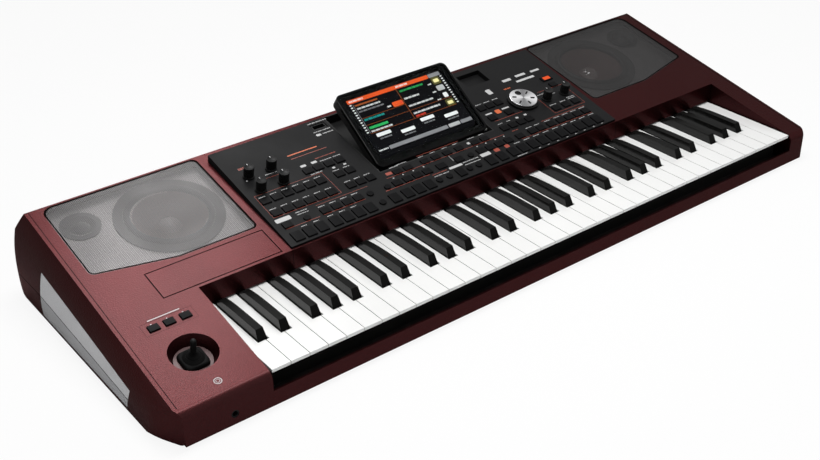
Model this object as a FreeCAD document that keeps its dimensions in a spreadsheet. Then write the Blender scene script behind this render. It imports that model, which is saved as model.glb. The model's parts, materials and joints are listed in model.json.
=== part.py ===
import FreeCAD, Part
import os
import re
import Sketcher

# Arranger keyboard with sixty-one keys, built-in speakers and a tilting display.
# Frame: +X to the player's right, +Y to the back, +Z up, origin on the floor under
# the middle of the case. All sizes are in millimetres and degrees.

doc = FreeCAD.newDocument("arranger_keyboard")
dims = doc.addObject("Spreadsheet::Sheet", "Dims")

SIZES = [
    ("key_pitch", 23.5, "white key spacing"),
    ("key_gap", 0.9, "side gap between neighbouring keys"),
    ("key_top", 48.0, "white key top above the floor"),
    ("key_plate", 4.0, "white key plate and front lip thickness"),
    ("key_head", 50.0, "white key head length, front lip to black key"),
    ("key_len", 194.0, "white key length to its rear end"),
    ("key_tail", 6.0, "pivot rod ahead of the key's rear end"),
    ("rod_drop", 9.0, "pivot rod below the white key top"),
    ("rod_rad", 2.0, "pivot rod radius"),
    ("run_gap", 0.05, "running clearance round a pin or shaft"),
    ("rib_width", 8.0, "rib under each key"),
    ("rib_drop", 9.0, "rib depth below the plate"),
    ("black_width", 12.4, "black key width at its base"),
    ("black_top_width", 9.4, "black key width at its top"),
    ("black_rise", 11.0, "black key top above the white keys"),
    ("black_slope", 7.0, "run of the black key's sloping front"),
    ("left_block", 106.3, "width of the case left of the keys"),
    ("right_block", 30.3, "width of the case right of the keys"),
    ("block_gap", 2.0, "gap between the end blocks and the keys"),
    ("case_foot", 5.0, "case underside above the floor"),
    ("case_wall", 2.5, "wall of the upper case"),
    ("part_line", 30.0, "height of the joint between the cases at the back"),
    ("slope_deg", 11.75, "slope of the upper case top"),
    ("fall_run", 147.1, "front face to fallboard"),
    ("fall_top", 76.7, "top edge of the fallboard"),
    ("fall_wall", 4.0, "fallboard thickness"),
    ("fall_clear", 12.8, "fallboard lower edge above the white keys"),
    ("back_lean", 14.8, "back top edge in front of the back face"),
    ("back_knee", 96.0, "height where the back face starts to lean"),
    ("front_round", 10.0, "radius of the front top edge"),
    ("lower_wall", 3.0, "wall of the lower case"),
    ("slip_top", 24.0, "top of the key slip below the key lips"),
    ("cheek_top", 4.7, "end cheek thickness at its top edge"),
    ("cheek_low", 19.7, "end cheek thickness at its lower edge"),
    ("cheek_mid", 19.7, "end cheek thickness part way down, at the back"),
    ("cheek_fore", 15.5, "end cheek thickness part way down, at the front"),
    ("cheek_taper", 45.5, "run of the slanted front corner of a cheek"),
    ("cheek_corner", 120.0, "plan radius from a cheek's side into its slanted corner"),
    ("insert_wall", 2.5, "thickness of the side insert"),
    ("trim_gap", 0.3, "gap round a fitted trim piece"),
    ("grille_gap", 0.7, "gap round a speaker grille"),
    ("grille_wall", 1.6, "grille thickness"),
    ("grille_in", 11.5, "grille inner edge from the panel edge"),
    ("grille_out", 13.3, "grille outer edge from the end of the case"),
    ("grille_fore", 54.5, "grille front edge behind the fallboard"),
    ("grille_step", 21.0, "set-back of the grille's outer front corner"),
    ("grille_back", 2.247, "grille back edge ahead of the top back edge"),
    ("tub_deep", 10.5, "speaker tub floor below the top face"),
    ("speaker_side", 7.3, "clear space beside a speaker"),
    ("speaker_fore", 14.0, "clear space ahead of a woofer"),
    ("speaker_rear", 4.7, "clear space behind a woofer"),
    ("tweeter_rear", 15.0, "clear space behind a tweeter"),
    ("tweeter_rad", 24.0, "tweeter flange radius"),
    ("bank_width", 169.5, "bank of controls at each side of the display tray"),
    ("panel_len", 190.0, "control panel length up the slope"),
    ("panel_back", 16.606, "control panel back edge ahead of the top back edge"),
    ("panel_deg", 13.7, "control panel slope"),
    ("panel_set", 1.9, "control panel front edge behind the fallboard face"),
    ("panel_lift", 2.5, "control panel front edge above the case"),
    ("panel_plate", 2.0, "control panel thickness"),
    ("panel_rim", 12.0, "depth of the control panel's folded rim"),
    ("panel_gap", 0.4, "gap round the control panel"),
    ("row_one", 12.1, "first button row from the panel's front edge"),
    ("row_two", 33.9, "second button row from the panel's front edge"),
    ("row_three", 58.0, "third button row from the panel's front edge"),
    ("row_four", 82.5, "fourth button row from the panel's front edge"),
    ("row_five", 105.7, "fifth button row from the panel's front edge"),
    ("voice_row", 103.2, "single voice button from the panel's front edge"),
    ("lit_row", 118.5, "lit voice button from the panel's front edge"),
    ("page_row", 51.6, "page button row from the panel's front edge"),
    ("page_deep", 8.6, "page button length"),
    ("knob_low", 102.6, "lower left knobs from the panel's front edge"),
    ("knob_high", 131.0, "upper left knobs from the panel's front edge"),
    ("knob_right", 80.5, "right knobs from the panel's front edge"),
    ("dial_run", 93.0, "value dial from the panel's front edge"),
    ("usb_back", 13.6, "data slot ahead of the panel's back edge"),
    ("well_back", 23.0, "finger well ahead of the panel's back edge"),
    ("board_drop", 9.0, "switch board below the panel face"),
    ("board_wall", 1.6, "circuit board thickness"),
    ("button_rise", 1.8, "button top above the panel"),
    ("button_root", 4.2, "button foot below the panel"),
    ("button_gap", 0.35, "gap round a button"),
    ("switch_rise", 3.3, "switch height on its board"),
    ("knob_rad", 6.0, "rotary knob radius"),
    ("knob_skirt", 7.4, "rotary knob skirt radius"),
    ("knob_rise", 16.0, "rotary knob height"),
    ("stem_rad", 3.0, "control stem radius"),
    ("dial_rad", 22.0, "value dial radius"),
    ("dial_rise", 6.5, "value dial height"),
    ("disp_half", 90.5, "half the display width"),
    ("disp_len", 116.0, "display height along its face"),
    ("disp_thick", 14.0, "display thickness"),
    ("disp_front", 10.0, "display face in front of its hinge axis"),
    ("disp_low", 4.0, "display lower edge below its hinge axis"),
    ("open_deg", 20.3, "display opening from the panel as shown"),
    ("hinge_drop", 6.8, "hinge axis below the panel face"),
    ("hinge_rad", 2.0, "display hinge pin radius"),
    ("tray_clear", 4.1, "display tray behind the page buttons"),
    ("tray_gap", 2.5, "gap between the display and its tray"),
    ("tray_deep", 13.5, "tray floor below the panel face"),
    ("tray_wall", 2.0, "tray wall"),
    ("tray_fore", 11.5, "tray front wall in front of the hinge axis"),
    ("joy_side", 51.8, "joystick centre from the left end of the case"),
    ("joy_run", 67.2, "joystick centre behind the front face"),
    ("joy_rad", 27.0, "joystick well radius at the top"),
    ("joy_floor", 21.0, "joystick well radius at its floor"),
    ("joy_deep", 13.0, "joystick well depth"),
    ("joy_pivot", 20.0, "joystick pivot below the top face"),
    ("joy_rise", 18.0, "joystick top above the top face"),
    ("stick_rad", 3.2, "joystick shaft radius"),
    ("black_near", 2.8, "side shift of the two black keys"),
    ("black_far", 3.9, "side shift of the outer ones of the three black keys"),
    ("foot_side", 68.782, "end foot from the end of the case"),
    ("foot_end", 36.5, "foot from the front or back face"),
    ("screw_side", 29.5, "end screw from the end of the case"),
    ("socket_high", 58.0, "sockets in the back wall above the floor"),
    ("jack_side", 108.086, "first jack from the left end of the case"),
    ("jack_pitch", 30.0, "jack spacing"),
    ("din_side", 284.954, "first round socket from the left end of the case"),
    ("din_pitch", 34.0, "round socket spacing"),
    ("inlet_side", 137.564, "mains inlet from the right end of the case"),
    ("supply_side", 91.3, "power supply from the right end of the case"),
    ("supply_back", 42.5, "power supply ahead of the back face"),
    ("board_back", 34.5, "main board ahead of the back face"),
    ("board_clear", 28.5, "main board behind the pivot rod"),
]

for row, (word, size, note) in enumerate(SIZES, start=1):
    dims.set(f"A{row}", note)
    dims.set(f"B{row}", str(size))
    dims.setAlias(f"B{row}", word)
doc.recompute()

NAMES = {word for word, size, note in SIZES}
WORD = re.compile(r"[a-z_][a-z_0-9]*")
PARTS = []


# Sizes that follow from the ones on the sheet.
FOLLOWS = {
    "tray_half": "disp_half + tray_gap + tray_wall",
    "panel_half": "tray_half + bank_width",
    "tray_start": "page_row + page_deep / 2 + tray_clear",
    "hinge_run": "tray_start + tray_wall + tray_fore",
    "key_pivot": "key_len - key_tail",
    "body_half": "(left_block + 36 * key_pitch + right_block) / 2",
    "case_depth": "fall_run + panel_set + panel_len * cos(panel_deg * 1deg) + panel_back + back_lean",
    "grille_len": "(case_depth - fall_run - back_lean) / cos(slope_deg * 1deg) - grille_fore - grille_back",
    "grille_wide": "body_half - grille_out - panel_half - grille_in",
    "woofer_rad": "min((grille_len - speaker_fore - speaker_rear) / 2;"
                  " (grille_wide - 2 * tweeter_rad - 3 * speaker_side) / 2)",
}


# Turn a size written in words into an expression on the sheet.
def bound(text):
    def in_sheet(hit):
        word = hit.group(0)
        if word in FOLLOWS:
            return "(" + bound(FOLLOWS[word]) + ")"
        return "Dims." + word if word in NAMES else word

    return WORD.sub(in_sheet, str(text))


# The present value of a size written in words.
def number(text):
    value = probe.evalExpression(bound(text))
    return float(getattr(value, "Value", value))


probe = doc.addObject("App::FeaturePython", "Probe")

# Places that several pieces share.
BODY = "body_half"
FRONT = "(0 - case_depth / 2)"
BACK = "(case_depth / 2)"
FALL = "(fall_run - case_depth / 2)"
BACK_TOP = "(case_depth / 2 - back_lean)"
KEYS_LEFT = f"(left_block - {BODY})"
KEYS_RIGHT = f"({KEYS_LEFT} + 36 * key_pitch)"
KEYS_FRONT = f"({FRONT} + 4)"
ROD_Y = f"({KEYS_FRONT} + key_pivot)"
ROD_Z = "(key_top - rod_drop)"
TURN_X = FreeCAD.Rotation(FreeCAD.Vector(1, 1, 1), 120)
ALONG_X = FreeCAD.Rotation(FreeCAD.Vector(0, 1, 0), 90)
ALONG_Y = FreeCAD.Rotation(FreeCAD.Vector(1, 0, 0), -90)
ON_XZ = FreeCAD.Rotation(FreeCAD.Vector(1, 0, 0), 90)


# Height of the sloping case top at a place from front to back.
def top_at(y):
    return f"(fall_top + (({y}) - {FALL}) * tan(slope_deg * 1deg))"


def new(kind, name):
    return doc.addObject(kind, name)


def put(thing, x, y, z, turn=None):
    if turn is not None:
        thing.Placement = FreeCAD.Placement(FreeCAD.Vector(0, 0, 0), turn)
    thing.setExpression("Placement.Base.x", bound(x))
    thing.setExpression("Placement.Base.y", bound(y))
    thing.setExpression("Placement.Base.z", bound(z))
    return thing


def box(name, x0, x1, y0, y1, z0, z1):
    thing = new("Part::Box", name)
    thing.setExpression("Length", bound(f"({x1}) - ({x0})"))
    thing.setExpression("Width", bound(f"({y1}) - ({y0})"))
    thing.setExpression("Height", bound(f"({z1}) - ({z0})"))
    return put(thing, x0, y0, z0)


def rod(name, radius, length, x, y, z, turn=None):
    thing = new("Part::Cylinder", name)
    thing.setExpression("Radius", bound(radius))
    thing.setExpression("Height", bound(length))
    return put(thing, x, y, z, turn)


def taper(name, low, high, length, x, y, z):
    thing = new("Part::Cone", name)
    thing.setExpression("Radius1", bound(low))
    thing.setExpression("Radius2", bound(high))
    thing.setExpression("Height", bound(length))
    return put(thing, x, y, z)


def cut(name, base, tool):
    thing = new("Part::Cut", name)
    thing.Base = base
    thing.Tool = tool
    thing.Refine = True
    return thing


def fuse(name, things):
    thing = new("Part::MultiFuse", name)
    thing.Shapes = things
    thing.Refine = True
    return thing


def shared(name, things):
    thing = new("Part::MultiCommon", name)
    thing.Shapes = things
    thing.Refine = True
    return thing


def group(name, things):
    thing = new("Part::Compound", name)
    thing.Links = things
    return thing


# A closed outline through corner points given as words, on a turned plane.
def outline(name, corners, x, y, z, turn):
    sketch = new("Sketcher::SketchObject", name)
    put(sketch, x, y, z, turn)
    spots = [FreeCAD.Vector(number(a), number(b), 0) for a, b in corners]
    count = len(spots)
    for i in range(count):
        sketch.addGeometry(Part.LineSegment(spots[i], spots[(i + 1) % count]))
    for i in range(count):
        sketch.addConstraint(Sketcher.Constraint("Coincident", i, 2, (i + 1) % count, 1))
    for i, (a, b) in enumerate(corners):
        for way, word, size in (("DistanceX", a, spots[i].x), ("DistanceY", b, spots[i].y)):
            at = sketch.addConstraint(Sketcher.Constraint(way, -1, 1, i, 1, size))
            sketch.setExpression(f"Constraints[{at}]", bound(word))
    return sketch


def drawn(name, sketch, way, length):
    thing = new("Part::Extrusion", name)
    thing.Base = sketch
    thing.DirMode = "Custom"
    thing.Dir = way
    thing.Solid = True
    thing.setExpression("LengthFwd", bound(length))
    return thing


# A prism along X from a side outline of (y, z) corners.
def side_prism(name, corners, x0, x1):
    sketch = outline(name + "_outline", corners, x0, "0", "0", TURN_X)
    return drawn(name, sketch, FreeCAD.Vector(1, 0, 0), f"({x1}) - ({x0})")


# A prism along Z from a plan outline of (x, y) corners.
def plan_prism(name, corners, z0, z1):
    sketch = outline(name + "_outline", corners, "0", "0", z0, FreeCAD.Rotation())
    return drawn(name, sketch, FreeCAD.Vector(0, 0, 1), f"({z1}) - ({z0})")


# Round the edges whose middle passes a test, each with its own radius.
def rounded(name, base, radius_at):
    doc.recompute()
    edges = []
    for i, edge in enumerate(base.Shape.Edges, start=1):
        middle = edge.valueAt((edge.FirstParameter + edge.LastParameter) / 2)
        radius = radius_at(edge, middle)
        if radius:
            edges.append((i, radius, radius))
    if not edges:
        raise RuntimeError("no edge to round on " + name)
    thing = new("Part::Fillet", name)
    thing.Base = base
    thing.Edges = edges
    return thing


def upright(edge):
    return edge.BoundBox.XLength < 0.01 and edge.BoundBox.YLength < 0.01


def tilt(thing, angle, y, z):
    thing.Placement = FreeCAD.Placement(FreeCAD.Vector(0, 0, 0),
                                        FreeCAD.Rotation(FreeCAD.Vector(1, 0, 0), number(angle)))
    thing.setExpression("Placement.Rotation.Angle", bound(angle))
    return put(thing, "0", y, z)


# Frames: the case top starts at the fallboard's top edge, the control panel at its
# own front edge, and the display at its hinge axis.
PANEL_Y = f"({FALL} + panel_set)"
PANEL_Z = "(fall_top + panel_set * tan(slope_deg * 1deg) + panel_lift)"
COS_P = "cos(panel_deg * 1deg)"
SIN_P = "sin(panel_deg * 1deg)"
HINGE_Y = f"({PANEL_Y} + hinge_run * {COS_P} + hinge_drop * {SIN_P})"
HINGE_Z = f"({PANEL_Z} + hinge_run * {SIN_P} - hinge_drop * {COS_P})"


def on_top(thing):
    return tilt(thing, "slope_deg", FALL, "fall_top")


def on_panel(thing):
    return tilt(thing, "panel_deg", PANEL_Y, PANEL_Z)


def on_hinge(thing):
    return tilt(thing, "panel_deg + open_deg", HINGE_Y, HINGE_Z)


def piece(node, thing):
    thing.Label = node
    PARTS.append((node, thing))
    return thing


# Control layout on the panel. The front rows spread over its whole width as drawn, and the
# banks spread between the display tray and the panel's edge; rows are set from the front.
PANEL_DRAWN = 264.5
BANK_DRAWN = 169.5
TRAY_DRAWN = 95.0


def across(x):
    return f"(panel_half * {x / PANEL_DRAWN:.5f})"


def beside(x):
    side = 1 if x > 0 else -1
    return f"({side} * (tray_half + bank_width * {(abs(x) - TRAY_DRAWN) / BANK_DRAWN:.5f}))"


def in_front(x, row, wide, deep):
    return across(x), row, across(wide), deep


def in_bank(x, row, wide, deep):
    return beside(x), row, f"(bank_width * {wide / BANK_DRAWN:.5f})", deep


BUTTONS = {
    "style_buttons": [in_bank(x, row, 12.7, "10.4") for row in ("row_four", "row_three")
                      for x in (-248.4, -232.5, -216.6, -200.9, -185.0, -169.1)],
    "mode_buttons": [in_bank(x, "row_five", 12.5, "10") for x in (-172.2, -157.0, -140.8, -125.0)]
    + [in_bank(x, "row_four", 12.5, "10") for x in (-140.8, -125.0)]
    + [in_bank(x, "row_three", 12.0, "10") for x in (-140.6, -125.8, -111.0)],
    "upper_row_buttons": [in_front(x, "row_two", 12.3, "9.8") for x in (
        -248.4, -195.0, -178.7, -162.6, -146.6, -87.2, -70.9, -55.4, -39.7,
        49.3, 64.9, 80.8, 97.0, 117.5, 140.0, 155.4, 174.2, 192.0, 207.2, 223.3, 239.3)]
    + [in_front(-16.8, "row_two", 14.0, "9.8"), in_front(12.1, "row_two", 13.0, "9.8")],
    "lower_row_buttons": [in_front(x, "row_one", 13.0, "16") for x in (
        -248.5, -231.6, -214.6, -194.6, -177.8, -161.0, -143.9, -106.3, -87.0, -69.6,
        -52.4, 48.6, 67.5, 87.0, 104.4, 121.6, 138.7, 156.0, 173.3, 190.3, 207.0, 223.8, 240.7)]
    + [in_front(-1.6, "row_one", 11.6, "14.6")],
    "page_buttons": [in_front(x, "page_row", 12.3, "page_deep") for x in (
        -74.0, -57.1, -29.8, -12.4, 6.5, 26.3, 53.2, 70.0)],
    "song_buttons": [in_bank(x, "row_five", 12.0, "10") for x in (109.9, 124.8, 139.9)]
    + [in_bank(x, "(row_four - 0.5)", 12.0, "10") for x in (109.9, 139.5)]
    + [in_bank(x, "(row_three - 1)", 12.0, "10") for x in (110.2, 124.9, 139.7, 154.4)],
    "voice_buttons": [in_bank(x, "row_three", 12.0, "9.4") for x in (206.0, 224.4, 242.4)]
    + [in_bank(241.3, "lit_row", 18.0, "9"), in_bank(240.9, "voice_row", 12.0, "9.4")],
}
ROUNDS = {
    "round_buttons": [(across(x), "(row_two - 0.5)") for x in (-221.6, -129.1, -102.6, 31.7)]
    + [(across(x), "(row_one + 0.7)") for x in (-124.9, -36.2, -20.1, 13.3, 28.2)],
}
ROUND_RAD = "4.4"
KNOBS = {
    "volume_knob": (beside(-242.4), "knob_high"),
    "style_knob": (beside(-210.1), "knob_high"),
    "gain_knob": (beside(-242.4), "knob_low"),
    "balance_knob": (beside(-210.1), "knob_low"),
    "cutoff_knob": (beside(207.9), "knob_right"),
    "resonance_knob": (beside(240.7), "knob_right"),
}
DIAL_AT = (beside(174.0), "dial_run")

# Upper case: one painted shell with end blocks, fallboard, speaker tubs and joystick well.
outer_side = [
    (FRONT, "case_foot + lower_wall"), (FRONT, top_at(FRONT)), (BACK_TOP, top_at(BACK_TOP)),
    (BACK, "back_knee"), (BACK, "part_line"),
]
inner_side = [
    (f"{FRONT} + case_wall", "0"),
    (f"{FRONT} + case_wall", top_at(f"{FRONT} + case_wall") + " - case_wall * 1.02"),
    (f"{BACK_TOP} - case_wall * 0.9", top_at(f"{BACK_TOP} - case_wall * 0.9") + " - case_wall * 1.02"),
    (f"{BACK} - case_wall", "back_knee - 0.5"), (f"{BACK} - case_wall", "0"),
]
outer_raw = side_prism("case_outer_raw", outer_side, f"0 - {BODY}", BODY)
inner_raw = side_prism("case_inner_raw", inner_side, f"case_wall - {BODY}", f"{BODY} - case_wall")
front_edge = number(FRONT)
crest = number(top_at(FRONT))


def front_round(edge, middle):
    along_x = edge.BoundBox.XLength > 100
    if along_x and abs(middle.y - front_edge) < 4 and abs(middle.z - crest) < 5:
        return number("front_round") - (abs(middle.y - front_edge) > 1) * number("case_wall")
    return 0


outer_full = rounded("case_outer", outer_raw, front_round)
inner_full = rounded("case_inner", inner_raw, front_round)
shell = cut("case_shell", outer_full, inner_full)
key_bay = box("key_bay", f"{KEYS_LEFT} - block_gap", f"{KEYS_RIGHT} + block_gap",
              f"{FRONT} - 1", FALL, "0 - 1", "200")
open_shell = cut("case_open_shell", shell, key_bay)
left_wall_box = box("left_wall_box", f"{KEYS_LEFT} - block_gap - case_wall", f"{KEYS_LEFT} - block_gap",
                    FRONT, f"{FALL} + case_wall", "0", "200")
right_wall_box = box("right_wall_box", f"{KEYS_RIGHT} + block_gap",
                     f"{KEYS_RIGHT} + block_gap + case_wall",
                     FRONT, f"{FALL} + case_wall", "0", "200")
fall_box = box("fall_box", f"{KEYS_LEFT} - block_gap - case_wall",
               f"{KEYS_RIGHT} + block_gap + case_wall",
               FALL, f"{FALL} + fall_wall", "key_top + fall_clear", "200")
left_wall = shared("left_block_wall", [outer_full, left_wall_box])
right_wall = shared("right_block_wall", [outer_full, right_wall_box])
fallboard = shared("fallboard", [outer_full, fall_box])


GRILLE_BEND = "(panel_half + grille_in + grille_wide * 0.515)"


# Plan of a speaker grille: side is -1 on the left and 1 on the right.
def grille_plan(side, grow):
    inner = f"{side} * (panel_half + grille_in - ({grow}))"
    outer = f"{side} * ({BODY} - grille_out + ({grow}))"
    bend = f"{side} * {GRILLE_BEND}"
    fore = f"grille_fore - ({grow})"
    rear = f"grille_fore + grille_len + ({grow})"
    return [(outer, fore + " + grille_step"), (bend, fore), (inner, fore), (inner, rear), (outer, rear)]


def grille_corner(edge, middle):
    if not upright(edge):
        return 0
    far = number(f"{BODY} - grille_out")
    rear = number("grille_fore + grille_len")
    if abs(abs(middle.x) - far) < 4 and abs(middle.y - rear) < 4:
        return 14
    if abs(abs(middle.x) - number(GRILLE_BEND)) < 4:
        return 40
    return 8


def grille_prism(name, side, grow, low, high):
    return rounded(name, plan_prism(name + "_raw", grille_plan(side, grow), low, high), grille_corner)


WOOFER_X = "(panel_half + grille_in + speaker_side + woofer_rad)"
WOOFER_V = "(grille_fore + grille_len - speaker_rear - woofer_rad)"
TWEETER_X = f"({BODY} - grille_out - speaker_side - tweeter_rad)"
TWEETER_V = "(grille_fore + grille_len - tweeter_rear - tweeter_rad)"
case_adds = [open_shell, left_wall, right_wall, fallboard]
top_cuts = []
for side, hand in ((-1, "left"), (1, "right")):
    tub = grille_prism(f"{hand}_tub", side, "case_wall", "0 - tub_deep - case_wall", "0 - case_wall / 2")
    case_adds.append(on_top(tub))
    top_cuts.append(grille_prism(f"{hand}_tub_hollow", side, "0", "0 - tub_deep", "12"))
    top_cuts.append(rod(f"{hand}_woofer_hole", "woofer_rad - 9", "20", f"{side} * {WOOFER_X}",
                        WOOFER_V, "0 - tub_deep - 10"))
    top_cuts.append(rod(f"{hand}_tweeter_hole", "tweeter_rad - 4", "20", f"{side} * {TWEETER_X}",
                        TWEETER_V, "0 - tub_deep - 10"))

# Joystick well: a dished cup in the left block with a square hole in its floor.
JOY_X = f"(joy_side - {BODY})"
COS_S = "cos(slope_deg * 1deg)"
JOY_V = f"((joy_run - fall_run) / {COS_S})"
cup = taper("joy_cup", "joy_floor + case_wall", "joy_rad + case_wall", "joy_deep + 1.2",
            JOY_X, JOY_V, "0 - joy_deep - 2")
case_adds.append(on_top(group("joy_cup_seat", [cup])))
top_cuts.append(taper("joy_dish", "joy_floor", "joy_rad", "joy_deep", JOY_X, JOY_V, "0 - joy_deep"))
top_cuts.append(rod("joy_mouth", "joy_rad", "6", JOY_X, JOY_V, "0 - 0.01"))
top_cuts.append(box("joy_hole", f"{JOY_X} - 12", f"{JOY_X} + 12", f"{JOY_V} - 12", f"{JOY_V} + 12",
                    "0 - joy_deep - 6", "0 - joy_deep + 1"))

# Assign buttons and the fine groove of the bare name plate, both on the left block.
ASSIGN = [(f"{JOY_X} + {dx}", f"{JOY_V} + 50.9") for dx in (-18.4, 0.2, 19.4)]
for i, (x, v) in enumerate(ASSIGN):
    top_cuts.append(box(f"assign_hole_{i}", f"{x} - 6.25 - button_gap", f"{x} + 6.25 + button_gap",
                        f"{v} - 4.6 - button_gap", f"{v} + 4.6 + button_gap", "0 - 6", "6"))
plate_out = box("name_plate_edge", f"0 - {BODY} + 63.3", "0 - panel_half - grille_in", "3.5", "48.4",
                "0 - 0.8", "3")
plate_in = box("name_plate_field", f"0 - {BODY} + 64.7", "0 - panel_half - grille_in - 1.4", "4.9", "47.0",
               "0 - 1", "4")
top_cuts.append(cut("name_plate_groove", plate_out, plate_in))
top_tools = on_top(fuse("case_top_tools", top_cuts))
panel_bay = on_panel(group("panel_bay", [box(
    "panel_bay_box", "0 - panel_half - panel_gap", "panel_half + panel_gap", "0 - panel_gap",
    "panel_len + panel_gap", "0 - panel_rim - panel_gap", "30")]))

# Sockets through the back wall and a headphone socket in the front of the left block.
JACKS = [(f"(jack_side - {BODY} + jack_pitch * {i})", "socket_high") for i in range(5)]
DINS = [(f"(din_side - {BODY} + din_pitch * {i})", "socket_high") for i in range(3)]
INLET = f"({BODY} - inlet_side)"
PHONES = (f"{JOY_X} + 6", "case_foot + 13")
case_holes = []
for i, (x, z) in enumerate(JACKS):
    case_holes.append(rod(f"jack_hole_{i}", "5.8", "20", x, f"{BACK} - 15", z, ALONG_Y))
for i, (x, z) in enumerate(DINS):
    case_holes.append(rod(f"din_hole_{i}", "9.3", "20", x, f"{BACK} - 15", z, ALONG_Y))
case_holes.append(box("usb_hole", "0 - 24.3", "0 - 11.7", f"{BACK} - 15", f"{BACK} + 5",
                      "socket_high - 5.3", "socket_high + 5.3"))
case_holes.append(box("inlet_hole", f"{INLET} - 25.3", f"{INLET} + 25.3", f"{BACK} - 15", f"{BACK} + 5",
                      "socket_high - 11.3", "socket_high + 15.3"))
case_holes.append(rod("phones_hole", "4.6", "12", PHONES[0], f"{FRONT} - 4", PHONES[1], ALONG_Y))
upper_solid = fuse("upper_case_solid", case_adds)
upper_tools = fuse("upper_case_tools", [top_tools, panel_bay] + case_holes)
piece("upper_case", cut("UpperCase", upper_solid, upper_tools))

# Lower case: floor pan, back wall, key slip, board posts and screw seats.
SCREWS = [(f"({BODY} - screw_side) * {sx}", f"{BACK} - 11") for sx in (-1, -0.5, 0, 0.5, 1)]
SCREWS += [(f"{side} * ({BODY} - 9)", f"{FRONT} + 24") for side in (-1, 1)]
BOARD_FORE = f"({ROD_Y} + board_clear)"
BOARD_REAR = f"({BACK} - board_back)"
POSTS = [(x, y) for x in ("0 - 60", "210") for y in (f"{BOARD_FORE} + 10", f"{BOARD_REAR} - 10")]
pan = [
    box("pan_floor", f"0 - {BODY}", BODY, FRONT, BACK, "case_foot", "case_foot + lower_wall"),
    box("pan_back", f"0 - {BODY}", BODY, f"{BACK} - lower_wall", BACK, "case_foot", "part_line - trim_gap"),
    box("key_slip", f"{KEYS_LEFT} - block_gap", f"{KEYS_RIGHT} + block_gap", FRONT,
        f"{FRONT} + lower_wall", "case_foot", "slip_top"),
]
for i, (x, y) in enumerate(POSTS):
    pan.append(rod(f"board_post_{i}", "4", "6 + lower_wall", x, y, "case_foot"))
for i, (x, y) in enumerate(SCREWS):
    pan.append(rod(f"screw_post_{i}", "5", "18", x, y, "case_foot"))
pan_cuts = []
for i, (x, y) in enumerate(SCREWS):
    pan_cuts.append(rod(f"screw_seat_{i}", "3.5", "3", x, y, "case_foot - 1"))
    pan_cuts.append(rod(f"screw_way_{i}", "1.8", "30", x, y, "case_foot - 1"))
piece("lower_case", cut("LowerCase", fuse("lower_case_solid", pan), fuse("lower_case_tools", pan_cuts)))

screws = []
for i, (x, y) in enumerate(SCREWS):
    head = rod(f"screw_head_{i}", "3.2", "1.9", x, y, "case_foot + 0.1")
    shank = rod(f"screw_shank_{i}", "1.5", "16", x, y, "case_foot + 1")
    slot = box(f"screw_slot_{i}", f"{x} - 2.4", f"{x} + 2.4", f"{y} - 0.4", f"{y} + 0.4",
               "case_foot - 1", "case_foot + 0.8")
    screws.append(cut(f"screw_{i}", fuse(f"screw_blank_{i}", [head, shank]), slot))
piece("case_screws", group("CaseScrews", screws))

feet = []
for sx in (-1, 0, 1):
    for sy in (-1, 1):
        feet.append(taper(f"foot_{sx + 1}_{sy + 1}", "11", "13", "case_foot", f"({BODY} - foot_side) * {sx}",
                          f"({BACK} - foot_end) * {sy}", "0"))
piece("rubber_feet", group("RubberFeet", feet))

# End cheeks: bulged mouldings that thin towards their top edge, each with a wedge insert.
# Section of the cheek at one end, a straight inner side and one outer arc.
def cheek_section(name, y, mid, mid_share):
    sketch = new("Sketcher::SketchObject", name)
    put(sketch, f"0 - {BODY}", y, "0", ON_XZ)
    high = top_at(y)
    low = "case_foot"
    spots = [("0", low), ("0", high), ("0 - cheek_top", high), ("0 - cheek_low", low)]
    at = [FreeCAD.Vector(number(a), number(b), 0) for a, b in spots]
    bulge = FreeCAD.Vector(-number(mid), at[0].y + (at[1].y - at[0].y) * mid_share, 0)
    bow = Part.Arc(at[2], bulge, at[3]).toShape()
    arc = Part.ArcOfCircle(bow.Curve, bow.FirstParameter, bow.LastParameter)
    sketch.addGeometry(Part.LineSegment(at[0], at[1]))
    sketch.addGeometry(Part.LineSegment(at[1], at[2]))
    sketch.addGeometry(arc)
    sketch.addGeometry(Part.LineSegment(at[3], at[0]))
    turned = (arc.StartPoint - at[2]).Length > 0.001
    first, last = (2, 1) if turned else (1, 2)
    sketch.addConstraint(Sketcher.Constraint("Coincident", 0, 2, 1, 1))
    sketch.addConstraint(Sketcher.Constraint("Coincident", 1, 2, 2, first))
    sketch.addConstraint(Sketcher.Constraint("Coincident", 2, last, 3, 1))
    sketch.addConstraint(Sketcher.Constraint("Coincident", 3, 2, 0, 1))
    held = [(0, 1, spots[0]), (0, 2, spots[1]), (1, 2, spots[2]), (3, 1, spots[3])]
    for line, end, (a, b) in held:
        for way, word in (("DistanceX", a), ("DistanceY", b)):
            at_row = sketch.addConstraint(Sketcher.Constraint(way, -1, 1, line, end, number(word)))
            sketch.setExpression(f"Constraints[{at_row}]", bound(word))
    sketch.addConstraint(Sketcher.Constraint("Radius", 2, arc.Radius))
    return sketch


rear_section = cheek_section("cheek_rear_section", f"{BACK} + 6", "cheek_mid", 0.54)
fore_section = cheek_section("cheek_fore_section", f"{FRONT} - 6", "cheek_fore", 0.5)
cheek_loft = new("Part::Loft", "cheek_loft")
cheek_loft.Sections = [fore_section, rear_section]
cheek_loft.Solid = True
cheek_loft.Ruled = True
cheek_side = [
    (FRONT, "case_foot"), (FRONT, top_at(FRONT)), (BACK_TOP, top_at(BACK_TOP)), (BACK, "back_knee"),
    (BACK, "case_foot"),
]


def cheek_round(edge, middle):
    if edge.BoundBox.XLength < 10:
        return 0
    if abs(middle.y - front_edge) < 1 and abs(middle.z - crest) < 1:
        return number("front_round")
    if abs(middle.y - front_edge) < 1 and middle.z < 20:
        return 7
    if middle.y > 100 and middle.z < 20:
        return 8
    return 0


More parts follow.
